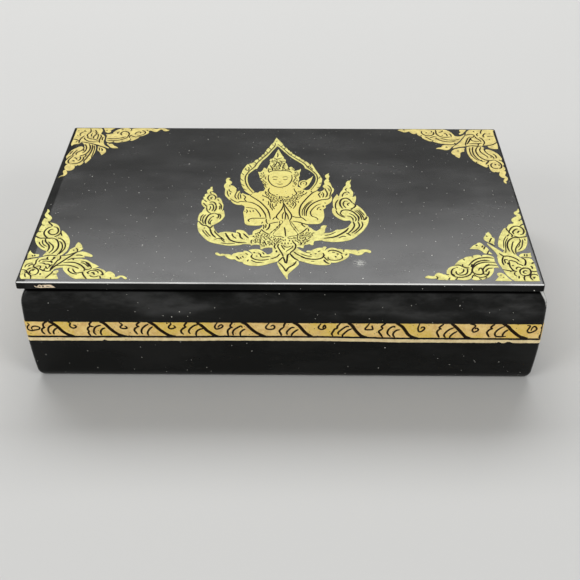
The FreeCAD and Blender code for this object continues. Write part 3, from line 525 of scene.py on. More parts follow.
DRAWINGS["figure"] = """
leaf -3.6,53.6 | -4.6,50 -5.1,48 | -5.7,47.3 -6.4,45.4 -6.8,43.8 | -7.5,43 -8.1,41.2 -8.2,40.3 |
 -8.8,38.8 -8.9,37 | -9.6,37.3 -10.1,36 -10.3,35 | -11,34.4 -11.5,33 | -12,32.4 | -12.8,31.9
 -13.6,29.6 | -14.3,29.3 -14.8,28.6 | -15.2,29 -15.6,27.8 | -16.3,28 -16.9,26.6 -17.4,25 |
 -18,23.6 -18.4,21.8 -18.5,20.2 | -18.9,18.8 -18.9,17.2 -18.7,15.4 | -18.8,13.6 -18.1,10.2 |
 -17.9,8.8 -17,6.4 | -16.7,5.2 -15.8,3.8 -13.9,1.6 | -13,2.6 -12.7,3.2 | -12.3,4.2 -13.4,6.2
 -14.6,8.8 -15.3,11.6 -15.7,14.6 -15.7,17 -15.5,18.8 | -15.9,19.2 | -15.4,19.4 -14.2,21.4 -13,23.3
 -12.4,24 | -11.9,23.9 -11.5,25.2 -11,27 -9.6,31.2 -7.4,35.2 -5.2,40.6 -4.2,42.8 -3.3,44.8
 -2.9,45.2 | -2.2,44.4 -1,42.2 2.4,36.4 4.8,33 6.4,31.2 8,29.2 9.2,27.4 9.7,25.6 9.8,24.8 |
 10.8,23.9 12.4,22.1 13.8,19.8 14.5,17.6 14.7,15 14.3,12.4 13.5,9.8 12.5,7.4 11.5,5.8 | 12.2,5 |
 12.7,3.8 | 14.6,5 15.2,6 | 15.6,6.9 16.3,8.4 | 16.8,9.8 17.2,11.8 | 17.5,15 17.1,16.4 | 16.8,17.6
 15.7,20.6 | 15.2,22 14.6,23.6 | 13.4,27.6 12.8,29.2 | 12.5,27.8 11.9,26.6 | 12,28.2 11.4,29.4
 10.6,30.7 | 9.9,31 9.2,32.2 | 8.2,33.2 7.4,34.6 | 6.4,35.6 5.4,36.7 | 4.1,38.2 3.7,39.8 |
 3.1,39.8 2.7,41 | 2.1,41.4 1.8,42.6 1.2,43.8 | 0.7,43.9 0.1,45.2 | -0.3,46.2 -0.7,47.8 -1.4,49.3
 | -1.9,50.2 -3.6,53.6
leaf -2.4,42.4 | -1.9,40.4 -0.6,36.4 0.1,34.8 0.1,33.6 | 1,32.4 1.1,31.2 0.8,30.2 1.3,29.2 |
 1.7,28.2 1.9,26.8 2.4,25.2 | 3,25.4 3.6,25.9 4.4,25 5,24 5.2,22.6 | 5.8,22.4 6.6,22.9 7.3,23.2
 7.9,24.2 | 8,22.6 7.6,21 7.4,19.6 7.6,18.4 | 7.3,17.2 7,16.2 | 7.3,14.8 7,13.6 | 6.6,9.4 6.8,7.6
 | 5.6,6.4 | 0,6 | -7.4,6 | -7.7,7.4 | -8.2,8.8 -8,10.2 | -8.6,10.9 -9.1,12.2 -9.2,13.5 |
 -9.8,14.2 -9.7,15.4 | -10.3,16.2 -10.5,17.8 -11.3,21.2 | -10.2,21.2 -9.4,22.2 -8.7,25.1 |
 -7.9,24.6 -7.3,23.4 | -6.8,26.4 -6.4,27.7 | -6.1,28.4 -6.2,29.6 -6,30.6 -6.3,31.8 -6,33 | -5,33.4
 | -4.4,35 -3,40.6 -2.4,42.4
leaf 13.4,18 | 12.4,16 11.6,15.3 10.4,13.8 | 9.6,14.1 8.4,13.7 7.4,12.6 7,11.2 7.2,9.8 7.8,8.6 |
 8.2,7.4 8.6,6.6 | 9.4,7 10.4,8.4 11.4,9.9 12.6,13.6 13.1,15.8
leaf -13.6,1.2 | -14.6,1 -16.5,2.2 -17.3,2.9 | -17.8,2.2 -18.3,2.4 | -18.5,3.6 -18.6,4.8 |
 -19.2,4.3 -19.8,4.8 | -20.2,6.6 -20.9,7.9 -21.8,9 -22.8,9.5 | -23.2,9.9 | -22.5,11.2 -22.7,12.6
 -24,14.1 | -23.6,14.8 -23.4,15.5 | -24.2,15.9 -25,15.2 -25.3,14 -24.9,11.6 | -25.5,10.4 -25.8,9
 -25.6,7.6 -25.1,6.4 -25.1,4 -25,2 -24.6,0.4 -22.7,-2.9 | -22.2,-2.6 | -21.8,-4 -21,-5.3
 -19.8,-6.4 -18.6,-6.8 -17.2,-6.9 -16.5,-7.4 | -15.9,-8.2 | -12,-9 -8,-8 -9,-3
leaf -7.7,6.6 | -8.2,4.8 -10,4.2 -10.6,3.1 | -11.2,3.3 -12.2,3.2 -12.9,2.4 -13.6,1.2 | -15,-2
 -16,-6 | -15.9,-10 -16.2,-12 | -16.3,-13 -16,-15 -15.4,-20.4 -14.9,-22 -13.8,-22.7 -11.8,-22.9
 -9.6,-22.9 -8.2,-22.4 | -4,-23 4,-23 10.4,-21.6 | 14.8,-21.5 16.2,-20.9 17.1,-19.4 17.7,-17
 17.9,-14.6 17.6,-10.2 | 18.7,-8.6 18.5,-7.4 18.9,-6.7 | 19.8,-5.8 20.8,-4.4 21.4,-2.6 21.5,-0.6
 21.1,0.8 | 19,1 16,4.2 | 15.2,4.9 | 13.8,4.6 12.8,3.6 | 12,5 11.4,5.8 | 10.6,5.6 9.8,5.6 |
 8.8,6.4 8.2,7.4 7,8.2 | 5,8.6 0,9 -5,8.6
leaf 16.3,4.2 | 17.4,5 18.2,6.4 18.3,7.4 | 17.7,8.6 18,9.8 18.6,10.7 | 18.3,12.6 18.8,14.2
 19.6,15.3 | 19.1,16.4 18.8,17.6 19.1,18.8 20.6,20.3 | 20.4,19 20.7,17.8 20.6,16.4 20.3,15.1 |
 20.6,13.8 20.4,12.5 | 20.9,12 21.3,10.4 21.8,7.8 | 22.2,7.5 22.5,6.4 22.4,5 22,3.6 21.4,2.4
 21.1,1.2 | 20,-2 15,-3 14,2
leaf -8.2,-22.2 | -7.8,-23 -8.3,-24.4 -9,-25.4 | -10.2,-26 -11.3,-26.9 -11.7,-28.2 -11.7,-29.8 |
 -11.9,-33.6 -12.4,-36.6 | -11.9,-37.8 | -11.3,-37.3 -10.2,-37 -8.5,-37.2 | -8.2,-38.6 -8.1,-40.2
 | -7.4,-40.3 -6.9,-39.6 -5.4,-39.2 -3.5,-39.1 | -1,-39.6 5.9,-39.6 | 6.8,-38.7 7.8,-38.7
 8.5,-39.3 9.2,-39 9.3,-37.6 | 9.9,-36.9 10.6,-36.9 | 11.6,-36.4 12.3,-37.1 13.1,-37 13.2,-35.6
 13.6,-34.2 | 15,-33.9 16.6,-33.6 | 16.5,-31.4 16.4,-29.8 | 17.8,-27.8 18,-26.2 18.3,-24.6
 18.9,-22.8 | 17.8,-22.5 16.8,-23 16.3,-24 16.2,-25.2 | 15.4,-25.9 14.6,-26.9 | 13.8,-26.6
 12.9,-25.6 12.2,-24.5 11.4,-24 | 11,-22.6 10.4,-21.5 | 4,-20 -4,-20
leaf -30.9,8.2 | -30.7,7 -30.9,6.2 | -30.4,5.4 -30.4,4.8 -31,4.2 | -29.2,2.4 -28.5,1 -28.2,-0.4
 -28.2,-1.4 | -27.2,-1 | -26.2,-2.8 -25.6,-5 -25,-7.8 -25.4,-12.2 | -24.7,-11 | -24,-15.1
 -24.3,-16.9 -25.2,-19 -26.3,-20.7 -27.6,-22 -28.3,-22.8 | -27.6,-25.8 -25.9,-29.1 | -25,-28.3
 -23.4,-27.8 -21.4,-27.7 -18.5,-28.6 | -18.5,-26.6 | -17.4,-26.2 -15.8,-26.7 -14.6,-27.8
 -13.3,-30.4 | -12.4,-30 -11.7,-29.8 | -11.4,-33 -12.4,-36.9 | -14.6,-36.6 -15.6,-36.8 |
 -16.4,-37.3 -18,-37.6 -20.6,-37.8 -23,-37.4 -26.8,-36.2 -28.4,-35.4 -29.7,-34.4 -30.3,-33.6 |
 -31.4,-32.3 -33.6,-28.4 -34.3,-26.3 -34.9,-22.6 -34.9,-20.8 | -34.5,-20 | -34.9,-19.4 -35.1,-18
 -34.9,-15.4 -34.4,-13.2 | -33.9,-12.8 -33.4,-11 -33,-9.8 | -32.5,-9.2 | -33.3,-8.6 -34,-7.4
 -34.5,-6 -34.6,-4.2 -34.4,-2.9 | -33.7,-2.6 | -34,-1.4 -34.2,-0.4 | -33.3,-0.1 | -33.6,0.6
 -33.7,1.4 -33.2,2.2 | -32.3,2.4 | -32.8,3.6 -32.9,5 -32.2,6 -31.6,6.4 | -31.6,7.6 -30.9,8.2
leaf 30.3,14.9 | 30.2,14 29.7,12 | 30,9.4 29.8,8.2 29.2,7.6 | 29.9,6.8 30.2,5.6 30.7,4.4 30.8,2.8
 30.4,0 | 31.2,0.4 31.7,1.2 | 31.9,-0.4 31.5,-3.6 31.1,-4.9 | 31.4,-6.2 | 32,-6.6 33,-8 34,-9.6
 35.4,-13.2 35.7,-15.2 | 36.2,-15.6 36.5,-17.2 36,-21 34.2,-25.6 31.8,-29.4 | 30.2,-31.4
 28.8,-32.8 27,-33.8 25,-34.4 22.6,-34.8 20.4,-34.8 18.6,-34.5 17.2,-34.1 16.6,-33.4 | 16.4,-31.6
 16.6,-29.8 17.4,-28.6 | 18.2,-28.3 19.6,-28.2 21,-27.6 22,-26.6 22.8,-25.8 23.8,-25.8 | 25,-25.6
 26.4,-24.8 27.6,-23.6 29,-20.6 29,-19.6 28.6,-18.6 | 26.6,-18.9 25.4,-18.4 24,-17.2 22.8,-15.8
 21.9,-14.2 21.4,-12.4 21.3,-10.6 21.6,-9 | 22.1,-8.8 | 21.8,-7.2 21.8,-3.4 22.2,-1.4 23.7,2.3 |
 24.2,1 24.6,0.3 | 25.2,3.4 26.4,6.2 | 26.6,7.4 27.1,8.6 27.8,9.6 | 27.9,10.6 27.9,11.8 28.4,13
 29,13.8 | 29.8,13.9 30.3,14.9
leaf -1,-36.8 | -1.3,-38.4 -0.8,-40.4 -0.1,-42.4 0.7,-44.2 1.1,-45.6 | -0.5,-48.4 -1.2,-50
 -0.9,-51.4 | 0,-54.2 2.4,-59.8 2.9,-60.7 | 3.1,-60.2 3,-58.8 3.2,-57.4 4.2,-55.6 6.6,-52
 7.3,-50.6 7.3,-49.4 7,-48.2 | 5.8,-47 4.7,-45.6 3.9,-44.2 3.7,-43.4 | 4.6,-41.8 5.6,-40.2 6,-38.6
 5.6,-37 5.2,-36.4 | 3,-35 0,-35
leaf -3.4,-39 | -3.2,-41.2 -3.3,-42.4 -4,-43.4 -5,-44 | -5.4,-43.9 -6,-43 -7.8,-41 -8.8,-40.4
 -10,-40.2 -11.4,-40.4 -12.9,-41 | -12.1,-41.9 -11.4,-43 -11.1,-43.8 | -13,-42 -14,-41.5
 -14.8,-41.5 | -14.8,-42.3 | -17,-42.6 -18,-43.2 | -18.8,-43.5 -19.5,-44.8 | -20,-44.2 -21,-43.9
 -22.2,-43.9 | -23.2,-43.6 -24.1,-44 | -24.7,-43.2 -25.5,-42.8 -26.1,-43.1 | -25.8,-44 -25,-44.7
 -23.8,-45.1 -22.2,-44.8 | -21.6,-45.8 -20.6,-46.8 -19.4,-47.4 -18,-47.4 | -17.2,-48.3 -16.2,-49
 -14.9,-49.3 | -14.3,-50.4 -13,-51.2 -11.8,-51.6 -8.5,-51.8 -5.4,-50.9 -4.2,-50.2 -2,-49.2
 -0.7,-48.4 0.3,-47 1.1,-45.6 | 0.7,-44.2 -0.1,-42.4 -0.8,-40.4 -1.2,-38.6
leaf 6.2,-38.8 | 8.7,-41.6 10.3,-42.5 | 10.4,-41.4 11,-41 12.1,-41.2 | 13,-40.4 14.2,-39.6
 15.4,-39.1 16.9,-39 | 17.1,-38.4 17.9,-38.2 18.4,-38.6 18.2,-39.4 17.5,-41.4 | 18.2,-40.4
 19,-39.6 | 19.9,-39.1 20.8,-39 21.9,-39.3 22.8,-39.9 | 24,-39.9 25.3,-40.6 | 26.2,-40.2
 28.8,-40.5 30,-40.4 30.8,-41.1 | 31.5,-40.6 32.6,-40.2 34,-40.1 35.2,-40.4 36.1,-41.1 36.1,-42.2
 | 35.4,-42.5 34.3,-41.9 33.5,-42.1 32.7,-43.3 31.6,-44 30.4,-44.1 28.3,-43 27.4,-42.8 | 27.1,-45
 25.2,-47.4 22.6,-49.1 21.2,-49.4 19.9,-49.3 | 19.8,-50.3 18.9,-50.9 17.4,-51.1 14,-50.8 11,-49.8
 8,-48.4 7.2,-48.2 | 5.8,-47 4.7,-45.6 3.9,-44.2 3.7,-43.3 | 4.8,-41.6 5.7,-40.2
line .55 -4.1,48.4 -4.1,46.4 -4.7,44 -5.8,41.6 -7.1,38.6 -11.2,30.8 -12.3,28.2 -13,25.8 -15.2,22
 -16.1,19.6 -16.7,17.2 -16.7,14.2 -16.2,11 -15.3,8 -14.1,5.4 -12.9,3.2
line .5 -2.9,47.2 -0.4,43.2 1.9,39 3.3,36.8 6.4,33 9.1,29.6 10.2,27.8 11.2,25.4 12.6,23.4
 14.8,19.4 15.3,17.2 15.4,15 15.1,12.6 14.4,10.2 12.4,5.6
line .6 -3.4,50
line .35 -5.4,47 -4.9,45.8
line .35 -6.9,43.8 -5.9,41.9
line .35 -8.1,40.2 -7.4,38.8
line .35 -8.9,37 -8.3,36.2
line .35 -10.3,35.2 -9.7,34
line .35 -11.6,33 -11.1,31.4
line .35 -13.3,30.4 -12.3,28.6
line .45 -15.5,27.8 -14.9,26.4 -14.3,25
line .45 -16.8,25 -16.9,23.4 -16,22.4 -15.4,23.4 -15.6,25.2 -16.2,25.6
line .35 -18.5,20 -17.4,18.4
line .35 -18.8,15.2 -17.4,13
line .35 -18.1,10.2 -16.8,8.8
line .35 -17,6.2 -15.6,5.2
line .35 -0.4,46 -1.2,44.8
line .35 0.7,43.8 0.2,42.4
line .35 4,37.9 3.4,36.9
line .35 5.6,36.4 5.2,35.2
line .6 7.3,32.4
line .35 9.8,31 9.2,30
line .6 11.9,26.9 11,25.5
line .45 12.2,26.2 12.6,25 13.2,24.2 13,23.4
line .4 16.7,17.4 15.9,15.4
line .35 17.2,12 16.2,11
line .35 16.2,8.2 15,7.4
line .5 -2.8,38.8 -2.6,36.6 -2.8,34.6
line .45 -4.5,34.2 -3.2,33 -2,33.4 -0.6,34.2
line .5 -5.6,30.6 -4.4,30.2 -3.2,30.8
line .5 -1.8,31.6 -0.6,30.6 0.6,30.8
line .6 -2.9,31.2 -3,29.8 -3.9,26.6 -4.6,25.4
line .6 -2.6,30.4 -1.9,28.8 -1.4,27.2 -1.2,25.8
line .8 -0.9,28.3
line .5 0.8,29.6 -0.1,26 -0.3,24.2
line .6 -6,27.4 -4.9,24.4 -4.8,22.6
line .5 -6.7,23.8 -6.6,22.2 -6.3,21
line .6 -1.6,24.8 -1.5,23.6
line .5 2.3,25.4 2.6,24 2.8,22.8
line .5 1.3,24 0.9,23
line .6 -6.4,20.6 -5.4,21.8 -4,22.4 -2.4,22.6 -1.2,22.3 0,22.6 1.6,22.4 3,21.8 3.9,20.6
line .4 -9.9,20.4 -9.4,19.4
line .4 -8.9,21 -8.7,19.6
line .4 -7.4,17.2 -7.9,16 -7.4,14.6
line .4 -8.9,14.6 -8.3,13.4
line .4 -7.6,11 -7.4,9.8
line .6 -6.7,10.6
line .4 5.4,21.6 5.6,20
line .6 5.2,17.2
line .4 5.4,12.4 6,11 5.6,9.8
line .4 6.4,14.6 6.2,13
line .55 -6.3,18.6 -6.5,15.6 -5.9,12.4 -4.4,9.6 -2.6,8.2 -1.2,7.9 0.2,8.2 2,9.6 3.5,12.4 4.1,15.6
 3.9,18.6
line .45 -4.4,15 -3.5,14.5 -2.5,14.9
line .45 2,15 1.1,14.5 0.1,14.9
line .35 -4.8,16.4 -3.6,17.1 -2.2,16.5
line .35 2.4,16.4 1.2,17.1 -0.2,16.5
line .35 -1.7,12.6 -1.2,12.3 -0.7,12.6
line .45 -2.5,10.9 -1.2,10.5 0.1,10.9
line .5 8.2,9.8 7.9,11.2 8.5,12.6 9.7,12.9 10.5,11.9 10.4,10.4 9.7,9.6
line .4 9.2,10.8 9.3,11.6
line .5 -5.6,7.4 -6.1,6 -6,4.4 -5.4,2.8 -4.4,1.8 -3.2,1.2
line .5 5,7 5.6,4.4 6.2,3.2 6,2 5.2,1 4.2,0.4
line .8 -2.3,1.6
line .5 -1.3,0.6 -1.2,-1 -1.6,-2.4
line .5 -0.6,-2.4 -0.8,-3.4
line .6 1.8,-1
line .6 0.4,-1.6
line .5 2.6,0.6 2.8,-0.4
line .8 2,-5.2 2.5,-6.4
line .6 0.2,-4.4 0.6,-5.2 0.6,-6.8 0.3,-8.8 -0.3,-10.8 -1.8,-14.4 -2.2,-16 -1.9,-17.2 -1.2,-18.2
line .6 0.9,-5.6 1.3,-7.2 3.6,-13 4.1,-14.8 4.2,-16.2 3.9,-17.6 3.3,-18.9
line .55 0.9,-7.6 1.3,-11.6 1.6,-13.4 1.6,-15.6 1.4,-18.4
line .4 0.9,-12.4 0.4,-14.2 0.3,-16.2 0.4,-18
line .5 1.7,-12.6 2.3,-14.4 2.7,-16.2 2.8,-18.2
line .5 -2.3,-16.2 -3.2,-17 -3.7,-18.4
line .65 -14.4,1.6 -13.4,0.2 -10.4,-3.2 -8.9,-5.2 -6.5,-9.6 -5.7,-11.8 -5.2,-14.2 -4.7,-18
line .65 -15.4,-4.3 -13.4,-4.8 -11.8,-5.8 -10.2,-7.4 -8.9,-9.4 -7.1,-13.8 -6.5,-17
line .45 -11.9,-9.4 -10.8,-10.8 -9.2,-14.4 -8.9,-16.4
line .6 -13.4,-20.2 -13.9,-19 -13.4,-18 -12.2,-17.4 -10,-17.3 -8,-17.3 -6.6,-17.2
line .45 -15.2,-10.4 -14.6,-11.8 -15,-13.4
line .4 -13.6,-11.2 -13.2,-12.6
line .4 -12.2,-10.8 -12.1,-12.4
line .6 -15.7,-11.9
line .45 -15.4,-8.8 -13.4,-9.2 -12,-9.8
line .55 -22.4,-1.6 -21.4,-3 -20.2,-4.2 -19,-4.8 -18,-4.1 -16.6,-4.2 -15.4,-4.4
line .5 -17.3,1.6 -16.3,0.4 -15.9,-0.8 -16.3,-2 -15.8,-3.2 -15.3,-4.2
line .5 -20.2,6 -19.8,4.4 -20.2,2.6 -20.5,0.6 -20.2,-1 -19.4,-2.4
line .45 -18.7,3.6 -19.2,0.2 -18.6,-2.6
line .45 -18.2,2 -18.1,0.2 -17.8,-1.8
line .5 -23.4,6.2 -23.2,4.8 -22,3.4
line .45 -24,4.8 -24,3 -23.6,1.4 -23,-0.2
line .5 -22.7,3 -22.6,1.6
line .5 -23.3,9.7 -23.2,8.3
line .5 -8.7,1.6 -8.2,0.6 -6.8,-0.5 -5.6,-1.8 -4.9,-3.6 -4.7,-5
line .5 -4.9,-5.2 -5.1,-6.8 -4.9,-8.4 -4.2,-9.8 -4,-11.2
line .45 -4.1,-5.6 -4.2,-7.2 -3.7,-8.8 -3,-10.2
line .45 -8.2,-1.8 -8.2,-3.4
line .4 -6,-3.6 -5.7,-5.4 -6,-7
line .45 -7.5,4.6 -7.3,2.8 -6.8,1.4
line .5 6.8,0.2 6.2,-1.2 5.8,-2.6
line .45 4,-2.4 4.8,-3.8 5.7,-5.2 5.9,-6.6 4.8,-9.8
line .45 4.4,-4.4 4.9,-6 4.4,-7.8
line .4 6.9,-3.4 7,-5
line .45 7,1 8.6,1.4 10,2.4 10.7,4
line .45 7,3.4 8.2,3.3 9.2,4.2 9.1,5.2
line .7 15,5 13.8,4 12.8,2.8 11,-0.4 9.2,-4.2 8.3,-6.4 7.7,-9 7.4,-12 7.6,-14.8 8.2,-16.6
line .4 12.6,5 12.8,3.6
line .4 13.4,-2.6 11.8,-4.2 10.3,-6.6 9.2,-9.4 8.6,-12.2 8.8,-15.2
line .5 12.8,-4 11.2,-6.2 10,-9 9.5,-12 9.6,-15.4
line .75 20.4,-0.6 19.9,-1.7 18.4,-2.1 16.6,-2.6 15,-3.7 13.4,-5.2 12,-7.2 11,-9.6 10.4,-12.4
 10.3,-15.4
line .5 16.6,-5.8 14.8,-6.9 13.6,-8.8 12.5,-11 12.1,-13 12.5,-15 13.2,-15.9 14.2,-16.4 14.9,-17.3
 15.2,-18.4
line .45 14.9,-10.6 15.4,-9 16.2,-8.2
line .45 16,-9.8 16.8,-10.8
line .7 17.5,-7 17.8,-8.3
line .5 18.3,-4.6 18.6,-5.4
line .65 18.5,7.2 18.9,5.6 19.4,4 19.5,2.2 19.2,0.6 18.6,-0.3
line .5 19.7,9.9 20.5,9 21.1,7.4 21.3,5.4 20.7,1.4 20.7,-0.4 20.3,-1.5
line .4 19.8,7.4 20.4,6 20.4,4.6
line .5 16.8,3.9 16.1,2.9 15.7,1.8 16.2,0.5 16.4,-0.8
line .5 17.4,3.8 17.9,2.4 17.8,0.8 17.5,-0.6
line .4 17.1,2.6 16.9,1.4
line .55 4.4,-15.4 5.4,-16.2 6.8,-16.6 8.4,-16.7 9.4,-17.8 10.4,-19.4
line .5 -6.4,-17.6 -6.4,-19.6 -6,-21 -5.6,-21.6
line .7 -5,-21.4 -4.9,-23 -5.3,-24.8 -6.2,-26.5
line .5 -6.5,-21.9 -6.4,-23.2 -6.6,-24.8
line .45 -7.8,-20 -8.3,-21.4
line .45 -7.6,-22.1 -7.2,-23.5 -7.4,-24.8 -7.2,-25.5
line .6 -8.3,-25.6 -7.3,-27.3 -6,-28.7 -4.7,-29.5
line .55 -4.9,-21.4 -2.6,-20.5 -1.3,-20.2
line .25 -0.9,-19.4 -0.8,-20.6 -0.6,-21.9 -1.6,-23.9 -2.6,-25.9 -4,-27.8 -4.7,-29.5
line .15 -0.9,-19.4 0.1,-19 0.5,-20 0.1,-21.4 -0.5,-22.6 -1,-24.6 -2.2,-26.6 -3.1,-28.5 -3.4,-30
line .8 -0.6,-21.6 -0.7,-22.6
line .8 -1.6,-23.4 -1.7,-24.6
line .8 -2.7,-25.6 -2.7,-26.6
line .6 -3.8,-27.4 -4.2,-28.4
line .6 1.25,-24.1 1.5,-26 1.9,-31
line .2 3.2,-18.8 4.2,-22.8 5.1,-24.8 6.8,-28.9
line .15 3.4,-18.8 4.2,-20.3 6.6,-26 7.3,-27.3
line .6 5.7,-24 5.9,-24.9
line .6 5.3,-25.4 5.5,-26.2
line .65 4.6,-19.4 7.4,-20.3 8.6,-21 9.9,-21.6 11.2,-22.4
line .6 8.3,-21.2 9,-22.8 9.9,-23.9
line .6 7.9,-28.7 9,-27.3 10.9,-24.4
line .9 7.8,-28.6
line .8 6.9,-29.3
line .4 -3.4,-30.2 -2,-30.9 -0.4,-31.1 0.8,-31.5
line .4 2.8,-31.6 4,-30.9 6,-30.4 7.2,-29.6
line .5 11.2,-25 11.3,-27.1
line .8 13.3,-28.3
line .5 12.6,-29.4 12.9,-30.4
line .4 11,-29.4 10.6,-30.3
line .5 12.1,-31.4 11,-32.6
line .8 -11.3,-30.5 -11.2,-31.5
line .5 -9.5,-29.4 -9.1,-30.7
line .4 -10.6,-28.7 -10.3,-29.8
line .4 -8.4,-26.4 -8.6,-28
line .5 -11.7,-33.5 -12.1,-34.8 -11.8,-36.2
line .45 -10.6,-34.8 -10.2,-36
line .5 -8.6,-32.5 -8.4,-34.4 -8.4,-36.6
line .55 -7,-33.7 -6,-36.9 -5.6,-37.5
line .6 -5.4,-34.6
line .45 -4.9,-32.3 -4.2,-33.7
line .45 -3,-32.6 -2.6,-33.9
line .6 -2.9,-35.5 -2.3,-36.9 -2.6,-38.5 -2,-40
line .6 -0.7,-36.2 -1.2,-38 -0.8,-39.6 0.7,-43.6 1.1,-45.4
line .5 0.2,-37.1 0.8,-38.9 1.7,-40.7
line 1.0 0.4,-35.9
line .7 1,-34
line .6 0.9,-31.8
line .45 1.7,-35.3 1.7,-36.9
line .45 2.9,-35.3 3,-36.6
line .6 4.2,-36
line .45 3.4,-33.5 3.5,-34.6
line .4 2.6,-31.8 3.2,-32.4 4,-32.1
line .65 4.6,-33.7 5.1,-35.3 5.9,-36.6 6,-38.5 5.5,-40.3 4.2,-42.2 3.8,-43.4
line .5 1,-37.3 1.9,-38.6 3,-38.7 4,-38
line .5 4.9,-37.5 4.6,-38.9 3.3,-40.5 2.1,-41.9
line .6 5.9,-33.8
line .6 6.8,-33.1
line .55 8.8,-33.5 9.2,-34.8
line .5 7.8,-35 8.4,-36.2 7.8,-37.3
line .5 7.1,-34.9 7.2,-35.6
line .5 -32.1,-8.6 -31.9,-10.4 -31.5,-11.9 -30.6,-13.2 -29.9,-13.7
line .7 -28.2,-7 -28,-9.2 -28.2,-10.7 -28.7,-12.2
line .5 -30.7,-7.8 -30.4,-8.9 -30.6,-10.1 -31,-11.3
line .45 -26.7,-7.6 -26.5,-8.9 -26.6,-10.7
line .8 -28.4,-13.5 -29.8,-14.1 -30.7,-15 -31.3,-16.5 -31.7,-18.4 -31.8,-20.6 -31.3,-22.4
line .7 -28.4,-13.5 -27,-14.4 -26.5,-15.4 -26.6,-16.6 -27.1,-17.6
line .5 -26.6,-13.9 -25.8,-15 -25.6,-16.6 -26,-18.2
line .8 -28.9,-15.7 -28.6,-16.5
line .5 -29.1,-16.4 -29.9,-17.6 -30.3,-19.2 -30.4,-20.7 -30,-22.3
line .5 -29,-18.5 -29.6,-19.8 -29.7,-21.3 -29.3,-22.4
line .5 -33,-14.5 -33.7,-16 -33.9,-18.2 -33.6,-20
line .5 -31.9,-14.6 -32.7,-16.3 -33,-18.4 -32.8,-20.4 -32.2,-21.9
line .8 -34.5,-19.8 -33.2,-22.1 -32.1,-23 -31.2,-23.1 -30.3,-24 -29.6,-25 -29,-24.2 -28.4,-22.9
line .8 -29.6,-25 -28.4,-29.3 -26.6,-32.1
line .6 -27.4,-26.7 -27,-28.5 -25.2,-31.1 -24.1,-32.3 -22.9,-34
line .5 -32.4,-26.4 -31.9,-27.9 -29.6,-31.7
line .8 -31.8,-25
line .5 -31.4,-26.7 -29.6,-29.9 -28.7,-31.2
line .5 -27.1,-33.5 -25.8,-32.7 -24.7,-32.6 -24.1,-33.5 -22.6,-35.4
line .7 -22.9,-28.6 -22.4,-29.9
line .7 -17.5,-45.2 -17,-46.3 -16.1,-47.6
line .5 -16,-45.9 -15.5,-47
line .5 -15.2,-45.1 -14.5,-46.3
line .4 -14,-43 -13,-44.3
line 1.0 -10.5,-42.7
line .7 -11.1,-43.8 -11.6,-45.5 -10.8,-46.8 -9.5,-47.6 -8,-47.9 -6.3,-47.8 -4.5,-47.3
line .6 -11.5,-48 -10.2,-49 -9,-49.5 -7,-49.5
line .5 -12.6,-47.5 -13,-48.8
line .8 -9.4,-45.1
line .6 -9,-42.8 -8,-44 -7.8,-45.3 -6.8,-45.8 -5.3,-45.5 -4,-45.3
line .5 -7.2,-42.4 -6.5,-44
line .5 8,-43.2 9.2,-44.1 10.6,-44.8 12.4,-45.2
line .5 10,-42.2 10.8,-42.6 12,-42.8
line .8 12.1,-43.7
line .9 14,-43.3
line .6 15,-42 15.9,-41
line .8 16.9,-42.7 17.3,-44.2 16.9,-45.5 16,-46.5 14.3,-47.1 12.5,-47.1 10.5,-46.6 9,-46 8,-45.3
line .4 12,-48.5 13.5,-48.5
line .6 17.4,-45.5 18,-46.8 19,-48
line .8 17.2,-47.3 17.6,-48.5 18.5,-49.6 19.4,-49.9
line .8 19,-41.8 19.8,-40.9 21.3,-40.8 22.8,-41.5 24,-42.5 24.6,-43.4
line .5 20.5,-42.1 21.8,-42.3
line 1.1 22.8,-43.4
line .8 21.8,-44.8 22.1,-45.8
line .5 19,-45.3 18.9,-46.5 19.8,-47.5 21.5,-47.8 23.3,-47.3 24.5,-46.3 24.5,-44.8 24.1,-44
line .6 25.8,-44.4 26.5,-43.2
line .4 25.3,-40.6 25.2,-41.8
line .6 23.2,-10.5 22.8,-7.9 23.1,-4.8 24.2,-2.2
line .9 25.8,-9.4 24.9,-6.7 24.9,-4 25.8,-1.7 27.6,-1 28.9,-2.1 30.2,-5
line .6 27.4,-9 26.4,-7.1 26.2,-5.2 27,-3.4 28.2,-3.6
line .6 28.5,-7.1 28,-6.3 28.5,-5.1 29.2,-4.9
line .8 30.4,-4.9 31.4,-6.6 30.9,-8.3 29.7,-9.5 29.5,-10.4
line .6 26,0.2 26.2,1.9 27.1,3.6 28.5,4.2 29.2,2.9
line .8 28.1,2.3
line .5 28.2,7.4 27.6,6.2 28,5.2
line .9 24.8,-12.8 25.6,-10.9 27.7,-10.5 29.7,-11.5 31.2,-13.6 32.3,-16.3 32.1,-19.2
line .6 27.4,-15.2 28.8,-15.6 29.8,-17.2 29.9,-19
line .6 28.5,-13.2 30.2,-14.8 31.2,-17.4 30.8,-19.4
line .6 22.9,-10.8 23.5,-13.2 24.9,-15.2 26.6,-16.6
line .5 24.5,-12.6 25.3,-14.6 26.6,-15.7
line .6 31.6,-10.5 33.4,-13.2 34.6,-17.9
line .6 30.9,-11 32.8,-13.8 33.4,-16.6 33.6,-18.3
line .5 32.6,-10.2 34.1,-12.9 34.8,-14.9
line .9 35.8,-15.6 35.1,-17.7 34.1,-18.3
line .7 29.9,-19.4 30.3,-22.5 29.3,-25.5 27.4,-28.6
line .7 31.8,-19.4 32.4,-22.5 31.2,-25.5 28.9,-28.4
line .6 33.5,-19.4 33.7,-22.5 32.4,-25.5 30.1,-28.8
line 1.0 27.8,-24.4 26.6,-26.7 25.3,-28.2 22.8,-30.5 20.5,-31.6 17.4,-32.2
line .7 26.6,-28.2 27.8,-29.2 28.5,-30.2
line .5 17.8,-30.2 20.1,-29.4 22.4,-27.5
line .6 23.5,-31.9 25.2,-30.7 26.6,-30.9
